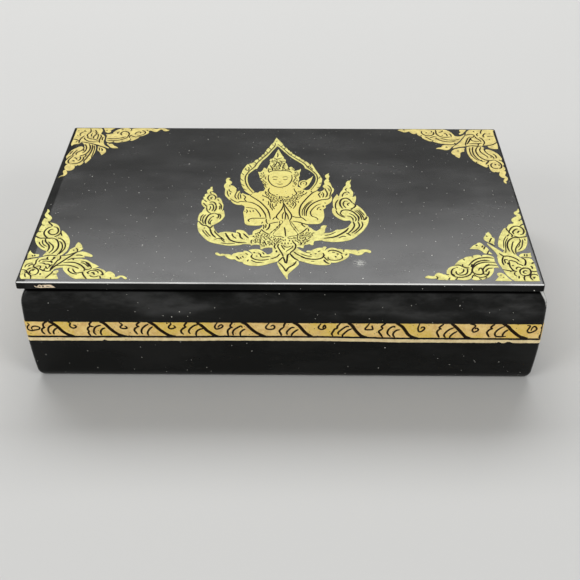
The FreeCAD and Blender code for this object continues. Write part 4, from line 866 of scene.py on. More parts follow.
line .7 -29.1,-2.7 -28.7,-0.8 -29.7,1 -31,1.3 -31.8,0.4 -32.2,-1.5 -31.2,-3.5
line .6 -30.5,-2.3 -30.8,-1.2 -30,-0.4
line .6 -33.7,-2.7 -32.4,-4.6
line .8 -31.2,-4.8 -29.7,-4.5 -28.6,-5.8 -28.3,-7
line .6 -31.2,-6.9 -30.3,-6.2 -29.4,-7.4 -29.1,-10 -29.7,-12
line .6 -33.9,-5.4 -32.8,-7 -32,-8.5
line .5 -27.8,-2.3 -27.3,-3.6
line .6 -27.2,-5 -26,-7.3 -25.8,-10.8
line .5 -31.1,4.2 -31.4,3 -30.8,2.2
line .9 -22.8,-28.9 -21.8,-31.5 -20.5,-33.8 -17.8,-35.4 -13.9,-35.8
line .8 -18.2,-28.1 -17,-29.2 -16.6,-31.5 -15.5,-33.1
line .7 -15.5,-28.9 -14.3,-30.8 -13.2,-32.3
line .6 -20.1,-28.9 -19.7,-30.8 -18.2,-32.7
line .5 -24.3,-35.8 -21.6,-36.5 -18.5,-36.3
line .7 1.1,-45.6 1.6,-47.7 2,-50
line .8 3.9,-43.1 2.9,-44.3 2.7,-46.8 2.5,-50.2
line .6 -0.7,-49.3 0.6,-51.4 1.6,-53.5 2.3,-55.6
line .8 6.4,-48.5 5.2,-51 3.5,-52.7 2.7,-54.3 2.4,-55.6
line .9 3.9,-43.5 5.2,-46 7.2,-48.2
line .7 1.1,-45.6 0.2,-47 -1,-49.2
line .8 -1.7,-41 -1.6,-42.5
line .6 -0.3,-43.5 -1.5,-45.6 -4,-47.2
line .6 5.2,-41.8 6.8,-43.9 9.7,-46
fine -10.3,20.3 -8.3,20.5 -7.6,17 -7.2,13 -6.8,10 -6.6,7.5 -8,7.2 -8.6,10.5 -9.2,13.5 -9.6,16
fine 4.6,20.5 7,21.8 7.2,18 6.6,15 6.3,11 5.8,8 4.6,8 4.3,12 4.8,16
fine -8.2,24.5 -6.6,24 -5.2,26.5 -4.6,29.5 -5.8,31.5 -4.6,33 -1.6,32 0.6,31.6 0.4,28.5 1.6,25.5
 3,24.6 4.9,24.8 5.2,22.6 3,22.9 0,23.4 -3,23.3 -5,22.6 -7.2,22.6
fine -8.4,4.2 -6,6.6 -5.4,2.2 -2.6,0.2 1.6,0.3 4.6,1.8 5.4,6 8.2,4.6 9.6,2 7.6,-1 5.8,-5.5
 4.4,-9.5 3.2,-8 2,-4.6 0.4,-4 -1.4,-6 -3.4,-9.6 -5.2,-6 -6.8,-1
fine -10.6,-29.6 -8.4,-27 -5.4,-29.9 -3,-31.2 0.6,-33 3,-32.9 6,-31 8.4,-29 11,-26.6 13.6,-29.4
 12.4,-33.2 9.8,-37 7,-37 5.6,-34.6 0.6,-34.2 -2.4,-37.8 -7.8,-38.2 -8.6,-36.4 -11.2,-35.6
"""
DRAWINGS["chip"] = """
leaf 7.2,1.6 7.6,1.2 8.2,0.95 9.8,0.72 11.9,0.83 15.3,0.88 | 13.9,2.05 12.9,2.2 11.8,2.1 |
 10.7,2.1 10,1.85 | 9.6,2.15 9.1,2.1 8.7,1.75 8.6,1.4 8.1,1.25 7.6,1.65 7.2,1.6
gap 8.85,1.5 9.3,1.78 9.75,1.5 9.3,1.15
gap 10.1,1.6 10.55,1.85 11.05,1.5 10.55,1.1
gap 11.8,1.5 12.6,1.64 13.3,1.38 12.4,1.25
"""
DRAWINGS["vine"] = """
unit -92.1
curl .42 -101.1,29.4 -100.4,28.5 -101.1,27.7 -101.4,26.8 -101,25.9 -100,25.4 -98.5,25.7 -96.9,26.1
 -96.4,26.9 -97,27.4 -98.1,27.7 -99.2,27.4 -99.7,26.6 -99.4,25.7
line .5 -93,30.1 -94.4,29.3 -94.9,28.4 -94.8,27.4 -94.2,26.9
line .5 -94.3,27 -95.4,26.5 -95.8,25.5 -95.5,24.5 -94.7,23.5
line .48 -90.7,28.3 -91.9,28 -92.8,27.1 -93.2,26 -93.1,24.6 -92.4,23.6
line .48 -89.5,26.8 -90.3,26.3 -91.1,25.3 -91.3,24.4 -91.1,23.4
line .8 -92.6,30.1 -91.2,29.3 -89.4,27.6 -87.1,24.6 -84.8,23.1 -83.2,22.7
line .45 -85,29.8 -84,29.3 -84.4,28.3 -84.1,27.4 -83.2,26.8 -82.2,27.1 -81.9,27.7 -82.4,28.2
 -83,28.4
unit -71.9
line .5 -75.5,30.1 -76.4,29.2 -76.5,28.5 -76.1,27.8 -74.9,27.5
line .5 -76.2,27.8 -77.1,27.2 -77.5,26.2 -77.1,25.2 -77.4,24.5 -77,23.5 -76.6,22.9
line .48 -72,28.3 -73.2,28 -74.4,27.2 -75,26 -75.2,24.6 -74.4,23.4
line .48 -70.4,27 -71.6,26.5 -72.4,25.3 -72.5,24.2 -72.1,23.1
line .8 -72.4,30.1 -70.7,29.3 -69.6,28 -68.5,26.5 -67.1,25 -65.5,23.7 -63.9,23 -62.1,22.7
line .45 -64.8,29.9 -63.6,28.7 -64.4,27.7 -64.2,27 -63.2,26.7 -61.9,26.9 -62.1,27.6 -62.7,28
unit -53.1
line .5 -56.3,30.1 -57.5,29.3 -57.9,28.5 -57.3,27.8 -56.8,27.7
line .5 -57.3,27.8 -58.6,26.9 -59,25.8 -58.5,24.8 -57.9,23.7
line .48 -53.2,29.1 -54.5,28.2 -55.8,26.8 -56.3,25.2 -55.9,23.8
line .48 -51.6,27.8 -52.9,26.6 -53.7,25.2 -53.9,24.1 -53.5,23.1
line .8 -53.4,30.1 -51.8,29.3 -50.6,28.3 -49.3,26.6 -46.3,23.9 -44.7,23.1 -42.7,22.8
line .4 -46.2,29.4 -45.6,29.6
line .45 -44.7,30 -44.4,29.1 -45.2,28 -45.3,27.2 -44.3,26.7 -42.9,27.3 -42.8,27.7 -43.4,28.5
unit -33.9
line .5 -37.9,30.1 -38.9,28.9 -39,28.1 -38.3,27.7
line .5 -38.3,27.7 -39.3,27.2 -40.4,26.1 -40.5,25 -39.6,23.8
line .48 -33.3,29.1 -35.2,28.4 -36.8,27 -37.5,25.5 -37,24.1
line .48 -31.4,27 -33.1,26.5 -34.3,25.5 -34.7,24.1 -34.6,23.1
line .8 -34.3,30.1 -32.5,28.6 -31.3,27.3 -30.2,25.9 -28.8,24.7 -27.5,23.6 -25.6,22.9
line .45 -26,30 -26.9,28.6 -27.1,27.5 -26.4,26.7 -24.7,27.3 -23.9,28.2 -24.5,28.9 -25.4,28.3
 -25.9,27.5
unit -16.2
line .5 -20,30.1 -21,28.6 -20.6,27.7 -20,27.4
line .5 -20.6,27.7 -21.5,26.8 -22.1,25.7 -21.9,23.2
line .48 -16.2,27.5 -16.8,28.3 -18,27.6 -19.4,26.5 -20.1,25.1 -19.9,23.5
line .48 -15.1,26.8 -16.2,26.1 -17.1,24.9 -17.1,23.3
line .8 -16.6,30.1 -14.6,29.2 -13.5,27.8 -11.9,26 -10.5,24.8 -8.7,23.7 -7,23.1
line .45 -5.6,30 -6.5,28.7 -7,27.7 -6.5,26.9 -5.1,26.7 -3.8,27.1 -3.5,28.2 -4.2,28.8 -5.1,28.2
unit 4.2
line .5 0.9,30 0.3,29.2 0.1,28
line .5 0.3,28 -1,26.9 -1.6,25.8 -1,24.4 -0.9,23.4
line .48 4.4,27.6 3.3,27.7 2.2,26.7 1.3,25.3 1.5,23.9
line .48 5.9,26.8 4.7,25.9 3.5,24.6 3.1,23.3
line .8 3.6,30.2 5.8,29 7.2,27.1 8.5,25.3 9.9,24 11.6,23.1
line .45 14.8,29.8 14.1,28.7 13.8,27.6 14.7,26.9 15.8,27 16.6,27.8 16.2,29 15.6,27.8 15.9,27.2
unit 25.9
line .5 22.4,30 21.3,28.6 21.1,27.5 20.2,27 19.7,26 19.1,24.6 19.6,23.4
line .48 25.8,28.1 25.3,28.5 24.2,28 22.7,26.6 21.6,25.2 21.9,24.1
line .48 27.1,27.3 25.7,26.6 24.3,25.2 23.4,23.9 23.4,23.2
line .8 25.3,30.1 27,28.9 28.2,26.8 29.5,25 30.9,23.6 33.2,22.9
line .45 33.8,30 33,28.6 32.2,27.4 32.6,26.8 35,26.9 35.1,27.7 34.8,29
unit 44.9
line .5 40.2,30 39.1,29.1 38.6,28.3 39.3,27.5
line .5 39.3,27.5 38.2,26.6 37.6,25.8 38.4,24.5 39.3,22.9
line .48 43.8,27.9 43.6,28.5 42.3,28 41.3,26.6 41.1,25 42.4,23.2
line .48 45.9,26.9 44.5,26.5 43.5,25.2 43.4,24.1 44.1,22.9
line .8 44.3,30.1 46.6,28.6 48,26.6 49.3,24.5 51.1,23.1 53.3,22.6
line .45 53.5,30 53.1,28.4 53,27.3 53.4,26.1 54.3,26 55.5,27.3 55.3,28.2 54.5,28.2 54.1,27.5
unit 66.3
line .5 63,29.9 61.7,28.6 61.4,27.9 62.3,27.2
line .5 61.8,27.4 60.9,26.6 60.6,25.6 61.1,24.3 61.7,22.9
line .48 67.2,28.1 65.5,27.2 64.2,25.8 63.5,24.2 64.2,22.9
line .48 68.6,26.3 67.1,25.1 66.1,23.8 65.8,22.8
line .8 65.8,30.1 67.8,28.5 70.8,24.9 72.1,23.4 74.3,22.6
line .45 73.3,29.9 75.1,29.5 75.4,28.7 74.6,27.6 74.5,26.5 75.3,25.9 76.7,26.8 76.5,27.6 75.8,27.9
 75.3,27.3
unit 86.5
line .5 83.1,29.9 81.9,28.9 81.7,28.1 82.5,27.6
line .5 82.4,27.6 81.2,27.2 80.3,25.8 80.7,24.7 81.5,23.2
line .48 86.9,28.9 85.3,27.9 84,26.5 83.5,25.1 84.1,23.8 86,23.6 88,23.8
line .48 88.6,27.2 87.4,26.2 86.7,24.9 86.7,23.8
line .8 86,30.1 88.3,28.8 89.6,27.2 92.8,24.2 94.6,23.3 96.8,22.7
line .45 95.7,29.4 96.9,29.2 96.6,28.1 96.1,26.7 96.9,25.7 98.5,26.3 99.6,27.4 99.4,28.3 98.6,29
 97.8,28.1 97.5,26.7
"""


# Drawings: curves, outlines and strokes

def smooth(points):
    """A Catmull-Rom curve through the points; two points give a straight line."""
    if len(points) < 3:
        return [Vector(p) for p in points]
    line = [Vector(p) for p in points]
    line = [2 * line[0] - line[1]] + line + [2 * line[-1] - line[-2]]
    curve = []
    for a, b, c, d in zip(line, line[1:], line[2:], line[3:]):
        for k in range(SPAN_STEPS):
            t = k / SPAN_STEPS
            curve.append(0.5 * (2 * b + (c - a) * t + (2 * a - 5 * b + 4 * c - d) * t * t
                                + (3 * b - a - 3 * c + d) * t ** 3))
    curve.append(line[-2])
    return curve


def points_of(words):
    """The points that words such as 1.5,20 name."""
    return [tuple(float(n) for n in word.split(",")) for word in words.split()]


def outline(row):
    """A closed outline from its smooth stretches, which meet in cusps."""
    stretches = [points_of(words) for words in row.split("|")]
    last, loop = stretches[-1][-1], []
    for stretch in stretches:
        joined = stretch if math.dist(last, stretch[0]) < 1e-6 else [last] + stretch
        if len(joined) > 1:
            loop += smooth(joined)[:-1]
        last = stretch[-1]
    return loop


def stroke(width, points):
    """A brush stroke as convex pieces, thin at both ends; one point gives a dot."""
    if len(points) == 1:
        centre = Vector(points[0])
        turns = [2 * math.pi * k / DOT_SIDES for k in range(DOT_SIDES)]
        return [[centre + Vector((math.cos(a), math.sin(a))) * width / 2 for a in turns]]
    line = smooth(points)
    if len(points) == 2:
        line = [line[0].lerp(line[1], k / STRAIGHT_STEPS) for k in range(STRAIGHT_STEPS + 1)]
    edges = []
    for k, point in enumerate(line):
        along = line[min(k + 1, len(line) - 1)] - line[max(k - 1, 0)]
        share = k / (len(line) - 1)
        half = width / 2 * min(1.0, TIP + TAPER * min(share, 1 - share))
        across = Vector((-along.y, along.x)).normalized() * half
        edges.append((point + across, point - across))
    return [hull([a, b, c, d]) for (a, b), (c, d) in zip(edges, edges[1:])]


def hull(points):
    """The convex outline round a few points, anticlockwise."""
    return anticlockwise([points[k] for k in convex_hull_2d(points)])


def anticlockwise(loop):
    """The loop, turned about if it runs clockwise."""
    area = sum(a[0] * b[1] - a[1] * b[0] for a, b in zip(loop, loop[1:] + loop[:1]))
    return loop if area > 0 else loop[::-1]


def inside(point, ring):
    """Whether a point lies in a closed ring."""
    found = False
    for a, b in zip(ring, ring[1:] + ring[:1]):
        if (a[1] > point[1]) != (b[1] > point[1]):
            if point[0] < a[0] + (point[1] - a[1]) / (b[1] - a[1]) * (b[0] - a[0]):
                found = not found
    return found


def filigree(ring, cuts, rng):
    """Small curved strokes that fill a ring with fine work, clear of the lines drawn there."""
    taken = [sum(cut, Vector((0, 0))) / len(cut) for cut in cuts]
    xs, ys = [p[0] for p in ring], [p[1] for p in ring]
    strokes = []
    y = min(ys)
    while y < max(ys):
        x = min(xs) + rng.uniform(0, FINE_STEP)
        while x < max(xs):
            spot = Vector((x, y + rng.uniform(-FINE_DRIFT, FINE_DRIFT)))
            if inside(spot, ring) and all((spot - t).length > FINE_GAP for t in taken):
                turn = Matrix.Rotation(rng.uniform(-FINE_TURN, FINE_TURN) + math.pi / 2, 2)
                bow = rng.choice((-FINE_BOW, FINE_BOW))
                bent = ((-FINE_REACH, bow), (0, -bow), (FINE_REACH, bow))
                points = [spot + turn @ Vector(p) for p in bent]
                strokes += stroke(rng.uniform(*FINE_WIDTH), points)
            x += FINE_STEP * rng.uniform(*FINE_SPREAD)
        y += FINE_STEP * FINE_SPREAD[0]
    return strokes


def rows_of(text):
    """The rows of a drawing; a row that starts with a space continues the one above it."""
    return text.strip().replace("\n ", " ").splitlines()


def read_drawing(text, brush):
    """The gold outlines of a drawing, and the dark pieces to cut out of them.

    A stroke is as wide as the brush's first number, plus its second times the width as drawn.
    """
    least, share = brush
    leaves, cuts, rings = [], [], []
    rows = rows_of(text)
    for row in rows:
        kind, rest = row.split(" ", 1)
        if kind == "leaf":
            leaves.append(anticlockwise(outline(rest)))
        elif kind == "line":
            width, words = rest.split(" ", 1)
            cuts += stroke(least + share * float(width), points_of(words))
        elif kind == "gap":
            ring = points_of(rest)
            cuts.append(anticlockwise(smooth(ring + ring[:1])[:-1]))
        elif kind == "fine":
            rings.append(points_of(rest))
    rng = random.Random(len(rows))
    for ring in rings:
        cuts += filigree(ring, cuts, rng)
    return leaves, cuts


# Plates of gold

def fill(leaves, cuts, bends=()):
    """Triangles of the gold and triangles of the dark lines in it. A bend is a line to fold at."""
    points, faces, edges = [], [], []
    for loop in leaves + cuts:
        faces.append(list(range(len(points), len(points) + len(loop))))
        points += loop
    for bend in bends:
        edges.append((len(points), len(points) + 1))
        points += bend
    flat = [Vector(p).to_2d() for p in points]
    verts, _, tris, _, _, owners = delaunay_2d_cdt(flat, edges, faces, 1, 1e-5)
    bright, dark = [], []
    for tri, own in zip(tris, owners):
        if own and min(own) < len(leaves):
            (bright if max(own) < len(leaves) else dark).append(tri)
    return verts, without_specks(verts, bright), without_specks(verts, dark)


def joined_groups(count, pairs):
    """For each of count things, a name for the group that the pairs join it to."""
    group = list(range(count))

    def root(k):
        while group[k] != k:
            group[k] = group[group[k]]
            k = group[k]
        return k

    for a, b in pairs:
        group[root(a)] = root(b)
    return [root(k) for k in range(count)]


def by_edge(tris):
    """For each undirected edge, the (triangle, first corner, second corner) that have it."""
    found = {}
    for t, tri in enumerate(tris):
        for k in range(3):
            a, b = tri[k], tri[(k + 1) % 3]
            found.setdefault((min(a, b), max(a, b)), []).append((t, k, (k + 1) % 3))
    return found


def without_specks(verts, tris):
    """The triangles without islands too small for a brush to leave."""
    pairs = [(u[0][0], u[1][0]) for u in by_edge(tris).values() if len(u) == 2]
    island = joined_groups(len(tris), pairs)
    area = {}
    for t, tri in enumerate(tris):
        a, b, c = (verts[i] for i in tri)
        area[island[t]] = area.get(island[t], 0) + abs((b - a).cross(c - a)) / 2
    return [tri for t, tri in enumerate(tris) if area[island[t]] > SMALLEST_SPECK]


def plate(name, verts, tris, place, material, proud=GOLD_PROUD):
    """A thin closed plate over the triangles. place(x, y, proud) gives a drawn point in space."""
    edges = by_edge(tris)
    pairs = []
    for users in edges.values():
        if len(users) == 2:
            (s, s0, s1), (t, t0, t1) = users
            pairs += [(3 * s + s0, 3 * t + t1), (3 * s + s1, 3 * t + t0)]
    corner = joined_groups(3 * len(tris), pairs)
    number, spots = {}, []
    for t, tri in enumerate(tris):
        for k in range(3):
            if corner[3 * t + k] not in number:
                number[corner[3 * t + k]] = len(number)
                spots.append(verts[tri[k]])
    top = [[number[corner[3 * t + k]] for k in range(3)] for t in range(len(tris))]
    count = len(spots)
    faces = top + [[i + count for i in reversed(tri)] for tri in top]
    for users in edges.values():
        if len(users) == 1:
            t, k0, k1 = users[0]
            a, b = top[t][k0], top[t][k1]
            faces.append([a + count, b + count, b, a])
    places = [place(p.x, p.y, proud) for p in spots]
    places += [place(p.x, p.y, -GOLD_SUNK) for p in spots]
    return solid(name, places, faces, material)


# Meshes

def solid(name, places, faces, material, smooth_angle=None):
    """A closed mesh object with its faces turned outwards."""
    mesh = bpy.data.meshes.new(name)
    mesh.from_pydata([tuple(p) for p in places], [], faces)
    made = bmesh.new()
    made.from_mesh(mesh)
    bmesh.ops.recalc_face_normals(made, faces=made.faces)
    made.to_mesh(mesh)
    made.free()
    mesh.materials.append(material)
    if smooth_angle:
        mesh.shade_smooth()
        mesh.set_sharp_from_angle(angle=math.radians(smooth_angle))
    piece = bpy.data.objects.new(name, mesh)
    bpy.context.scene.collection.objects.link(piece)
    return piece


def fit(piece, body, slot, *nodes):
    """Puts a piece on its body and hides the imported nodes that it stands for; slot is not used."""
    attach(piece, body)
    if nodes:
        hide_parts(*nodes)
    return piece


# Materials

class Finish:
    """A material being made: each call adds a node, and a socket given as a value is linked."""

    def __init__(self, name, **fixed):
        self.material = bpy.data.materials.new(name)
        self.material.use_nodes = True
        self.tree = self.material.node_tree
        self.shader = self.tree.nodes["Principled BSDF"]
        self.place = self.add("TexCoord").outputs["Object"]
        for socket, value in fixed.items():
            self.set(self.shader, socket.replace("_", " "), value)

    def set(self, node, socket, value):
        """Gives an input socket a value, or links another node's output to it."""
        if isinstance(value, bpy.types.NodeSocket):
            self.tree.links.new(value, node.inputs[socket])
        else:
            node.inputs[socket].default_value = value

    def add(self, kind, settings=None, **values):
        """A new node with its settings and its input values."""
        node = self.tree.nodes.new("ShaderNode" + kind)
        for key, value in (settings or {}).items():
            setattr(node, key, value)
        for socket, value in values.items():
            self.set(node, socket.replace("_", " "), value)
        return node

    def noise(self, scale, detail, roughness, stretch=(1, 1, 1)):
        """A soft pattern from 0 to 1, scale per metre."""
        place = self.add("Mapping", Vector=self.place, Scale=stretch).outputs["Vector"]
        pattern = self.add("TexNoise", Vector=place, Scale=scale, Detail=detail, Roughness=roughness)
        return pattern.outputs["Fac"]

    def cells(self, scale):
        """Random cells, scale per metre: the distance to the cell's middle, and its own number."""
        turned = self.add("Mapping", Vector=self.place, Rotation=CELL_TURN).outputs["Vector"]
        made = self.add("TexVoronoi", Vector=turned, Scale=scale)
        number = self.add("SeparateColor", Color=made.outputs["Color"]).outputs["Red"]
        return made.outputs["Distance"], number

    def between(self, value, low, high, out_low=0.0, out_high=1.0):
        """value from low to high, spread over out_low to out_high and held at the ends."""
        node = self.add("MapRange", {"interpolation_type": "SMOOTHSTEP"})
        numbers = (value, low, high, out_low, out_high)
        for k, number in enumerate(numbers):
            self.set(node, k, number)
        return node.outputs["Result"]

    def math(self, operation, a, b=0.0):
        """A sum, product or other result of one or two numbers."""
        node = self.add("Math", {"operation": operation})
        self.set(node, 0, a)
        self.set(node, 1, b)
        return node.outputs["Value"]

    def blend(self, share, first, second):
        """Two colours mixed by share. Sockets 6 and 7 and output 2 are the node's colours."""
        node = self.add("Mix", {"data_type": "RGBA"})
        self.set(node, 0, share)
        self.set(node, 6, first)
        self.set(node, 7, second)
        return node.outputs[2]

    def specks(self, scale, size, rarity):
        """Fine dots: one in a few cells, size as a share of the cell."""
        distance, number = self.cells(scale)
        near = self.between(distance, size, size * 0.5)
        few = self.between(number, rarity, rarity + 0.01)
        return self.math("MULTIPLY", near, few)

    def bump(self, height, distance, strength):
        """Unevenness in the light, as deep as distance."""
        node = self.add("Bump", Height=height, Distance=distance, Strength=strength)
        self.set(self.shader, "Normal", node.outputs["Normal"])

    def colour(self, value):
        """Sets the colour."""
        self.set(self.shader, "Base Color", value)

    def near(self, point, far, close):
        """One within close of a point, and nothing beyond far."""
        away = self.add("VectorMath", {"operation": "DISTANCE"})
        self.set(away, 0, self.place)
        self.set(away, 1, point)
        return self.between(away.outputs["Value"], far, close)

    def by_height(self, low, high, first=0.0, last=1.0):
        """From first to last as the height goes from low to high."""
        height = self.add("SeparateXYZ", Vector=self.place).outputs["Z"]
        return self.between(height, low, high, first, last)

    def roughness(self, value):
        """Sets how dull the gloss is."""
        self.set(self.shader, "Roughness", value)


def rgb(r, g, b):
    """An opaque colour."""
    return (r, g, b, 1.0)


def span(base, pair):
    """Two places, each so many millimetres from base."""
    return [base + distance * MM for distance in pair]


def lacquer(name, haze_and_reflection, gloss, mirror, dust, clear_below=None):
    """Black lacquer: soft smears in the gloss, lighter cloudy patches in the colour that are partly a
    faint haze and partly painted reflections, and pale dust in a share of the cells.

    Where clear_below is given, the patches and their painted reflections are faint below about that
    height.
    """
    finish = Finish(name, IOR=1.5, Specular_IOR_Level=mirror)
    smear = finish.noise(22, 5.0, 0.6, (1, 2.2, 1.6))
    hazy_reflection = finish.between(finish.noise(28, 7.0, 0.62, (1, 1, 2.6)), 0.42, 0.66)
    if clear_below:
        wave = finish.between(finish.noise(16, 3.0, 0.6), 0.3, 0.7, 0, 7 * MM)
        height = finish.add("SeparateXYZ", Vector=finish.place).outputs["Z"]
        uneven = finish.math("ADD", height, wave)
        above = finish.between(uneven, clear_below, clear_below + 4 * MM, 0.15, 1.0)
        hazy_reflection = finish.math("MULTIPLY", hazy_reflection, above)
    # painted reflection, with some haze: the cloudy patches lighten the black
    dark = finish.blend(hazy_reflection, rgb(0.0050, 0.0053, 0.0048),
                        rgb(0.0050 + haze_and_reflection, 0.0053 + haze_and_reflection, 0.0048 + haze_and_reflection))
    coarse = finish.specks(scale=270, size=0.070, rarity=1 - dust)
    fine = finish.specks(scale=640, size=0.11, rarity=1 - 0.7 * dust)
    specks = finish.math("MAXIMUM", coarse, fine)
    finish.tone = finish.blend(specks, dark, rgb(0.86, 0.85, 0.78))
    finish.colour(finish.tone)
    finish.roughness(finish.between(smear, 0.3, 0.75, gloss, gloss + 0.10))
    return finish


def case_shade_and_glint(finish, mirror):
    """Painted shade under the lid, where the lacquer is dull and its colour near black; a painted
    highlight runs pale down the front right corner.
    """
    shade = finish.by_height(SHADE_LOW, SHADE_HIGH)
    # painted shade: the colour goes near black under the lid's edge
    colour = finish.blend(shade, finish.tone, rgb(0.0008, 0.0008, 0.0008))
    finish.set(finish.shader, "Specular IOR Level",
               finish.by_height(SHADE_LOW, SHADE_HIGH, mirror, 0.02))
    low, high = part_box("front_wall")
    spot = finish.add("SeparateXYZ", Vector=finish.place)
    rise = finish.math("SUBTRACT", spot.outputs["Z"], high[2] - SHOULDER_HEIGHT)
    rise = finish.math("MAXIMUM", rise, 0)
    drawn_in = finish.math("MULTIPLY", finish.math("MULTIPLY", rise, rise),
                           2 * SHOULDER_DEPTH / SHOULDER_HEIGHT ** 2)
    reach = finish.math("SUBTRACT", finish.math("ADD", spot.outputs["X"], drawn_in),
                        spot.outputs["Y"])
    corner = high[0] - low[1]
    # painted highlight: a pale line down the front right corner's shoulder
    painted_corner_glint = finish.math("MULTIPLY", finish.between(reach, *span(corner, CORNER_GLINT)),
                         finish.by_height(*span(0, CORNER_GLINT_HEIGHT)))
    finish.colour(finish.blend(painted_corner_glint, colour, rgb(0.62, 0.62, 0.60)))


def lid_glint_and_smudge(finish, mirror):
    """The lid's painted highlight along its front top edge, and a pale smudge; its sides and a strip by
    them shine less.
    """
    spot = finish.add("SeparateXYZ", Vector=finish.place)
    near_front = finish.between(spot.outputs["Y"], *span(lid_low.y, EDGE_GLINT_BACK))
    near_top = finish.by_height(*span(lid_high.z, EDGE_GLINT_DOWN))
    # painted highlight: a near-white line along the front top edge, stronger in places
    painted_glint = finish.between(finish.noise(30, 3.0, 0.6, (1, 0.1, 0.1)), 0.30, 0.60, 0.60, 1.0)
    share = finish.math("MULTIPLY", finish.math("MULTIPLY", near_front, near_top), painted_glint)
    colour = finish.blend(share, finish.tone, rgb(0.97, 0.97, 0.95))
    patchy = finish.between(finish.noise(900, 3.0, 0.6, (1, 2, 1)), 0.42, 0.58)
    smudged = finish.math("MULTIPLY", finish.near(SMUDGE, *span(0, SMUDGE_REACH)), patchy)
    finish.colour(finish.blend(smudged, colour, rgb(0.34, 0.34, 0.31)))
    shine = finish.by_height(*span(lid_high.z, SIDE_SHINE), 0.10, mirror)
    aside = finish.math("ABSOLUTE", spot.outputs["X"])
    off_strip = finish.between(aside, *span(lid_high.x, STRIP_SHINE), 0.25, 1.0)
    finish.set(finish.shader, "Specular IOR Level", finish.math("MULTIPLY", shine, off_strip))


def gold(name, light, deep, painted_glint, amber=None, centre=None):
    """Gold leaf: uneven tone, paler flecks along the grain painted as glints of the leaf, and fine
    pits. Amber lies in patches, or round a centre.
    """
    finish = Finish(name, Metallic=0.2, Specular_IOR_Level=0.4)
    tone = finish.between(finish.noise(330, 4.0, 0.62), 0.36, 0.62)
    grain = finish.between(finish.noise(1500, 3.0, 0.7), 0.25, 0.75)
    colour = finish.blend(tone, deep, light)
    if centre:
        colour = finish.blend(finish.near(centre, *span(0, AMBER_REACH)), colour, amber)
    elif amber:
        patch = finish.between(finish.noise(80, 2.0, 0.5), 0.44, 0.60)
        colour = finish.blend(patch, colour, amber)
    # painted glint: paler flecks along the fine grain
    colour = finish.blend(finish.math("MULTIPLY", grain, 0.5), colour, painted_glint)
    pits = finish.specks(scale=900, size=0.22, rarity=0.75)
    finish.colour(finish.blend(pits, colour, rgb(0.10, 0.065, 0.02)))
    finish.roughness(finish.between(grain, 0.2, 0.8, 0.44, 0.58))
    finish.bump(grain, 0.02 * MM, 0.5)
    return finish.material


def ground_line(name):
    """The dark drawing between the leaf: lacquer left bare, with the brown of the size in it."""
    finish = Finish(name, Roughness=0.6, Specular_IOR_Level=0.08)
    tone = finish.noise(300, 4.0, 0.6)
    finish.colour(finish.blend(tone, rgb(0.008, 0.004, 0.002), rgb(0.026, 0.014, 0.006)))
    return finish.material


def felt(name, colour, shade):
    """Pressed felt: short tangled fibres, with a soft sheen."""
    finish = Finish(name, Roughness=0.92, Sheen_Weight=0.5, Sheen_Roughness=0.45)
    fibre = finish.noise(2600, 6.0, 0.75)
    patch = finish.noise(90, 4.0, 0.6)
    mixed = finish.math("ADD", finish.math("MULTIPLY", fibre, 0.7),
                        finish.math("MULTIPLY", patch, 0.3))
    finish.colour(finish.blend(finish.between(mixed, 0.35, 0.66), shade, colour))
    finish.bump(fibre, 0.25 * MM, 0.8)
    return finish.material


def brass(name):
    """Rolled brass, lightly tarnished, with fine rolling marks."""
    finish = Finish(name, Metallic=1.0)
    tarnish = finish.noise(260, 6.0, 0.65)
    marks = finish.noise(900, 3.0, 0.6, (0.06, 1, 1))
    finish.colour(finish.blend(finish.between(tarnish, 0.42, 0.72), rgb(0.72, 0.50, 0.20),
                               rgb(0.40, 0.26, 0.11)))
    finish.roughness(finish.between(tarnish, 0.3, 0.75, 0.26, 0.48))
    finish.bump(marks, 0.02 * MM, 0.5)
    return finish.material


def bare_wood(name):
    """Pale ground under the lacquer, where a chip has come off."""
    finish = Finish(name, Roughness=0.8)
    grain = finish.noise(1100, 4.0, 0.7)
    finish.colour(finish.blend(finish.between(grain, 0.30, 0.50), rgb(0.34, 0.13, 0.08),
                               rgb(0.93, 0.77, 0.55)))
    finish.bump(grain, 0.08 * MM, 0.8)
    return finish.material


def floor_finish(name):
    """Plain pale paper with painted shade: darker within half a metre of the box, a little paler far
    from it.
    """
    finish = Finish(name, Roughness=0.85)
    away = finish.add("VectorMath", {"operation": "LENGTH"})
    finish.set(away, 0, finish.place)
    far = finish.between(away.outputs["Value"], 0.5, 1.6)
    # painted shade: the floor is darker round the box
    finish.colour(finish.blend(far, rgb(0.62, 0.62, 0.61), rgb(0.86, 0.86, 0.85)))
    return finish.material


lid_low, lid_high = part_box("lid_panel")
lid_middle = (lid_low + lid_high) / 2
CASE_MIRROR, LID_MIRROR = 0.15, 0.42
case_finish = lacquer("case_lacquer", haze_and_reflection=0.036, gloss=0.16, mirror=CASE_MIRROR, dust=0.20,
                      clear_below=37 * MM)
case_shade_and_glint(case_finish, CASE_MIRROR)
case_lacquer = case_finish.material
lid_finish = lacquer("lid_lacquer", haze_and_reflection=0.009, gloss=0.20, mirror=LID_MIRROR, dust=0.34)
lid_glint_and_smudge(lid_finish, LID_MIRROR)
lid_lacquer = lid_finish.material
base_lacquer = lacquer("base_lacquer", haze_and_reflection=0.008, gloss=0.42, mirror=0.30, dust=0.05).material
LID_TONES = (rgb(0.710, 0.665, 0.178), rgb(0.465, 0.41, 0.085), rgb(0.835, 0.81, 0.375))
lid_gold = gold("lid_gold", *LID_TONES)
figure_gold = gold("figure_gold", *LID_TONES, amber=rgb(0.62, 0.51, 0.086),
                   centre=tuple(lid_middle + Vector(CHEST) * MM))
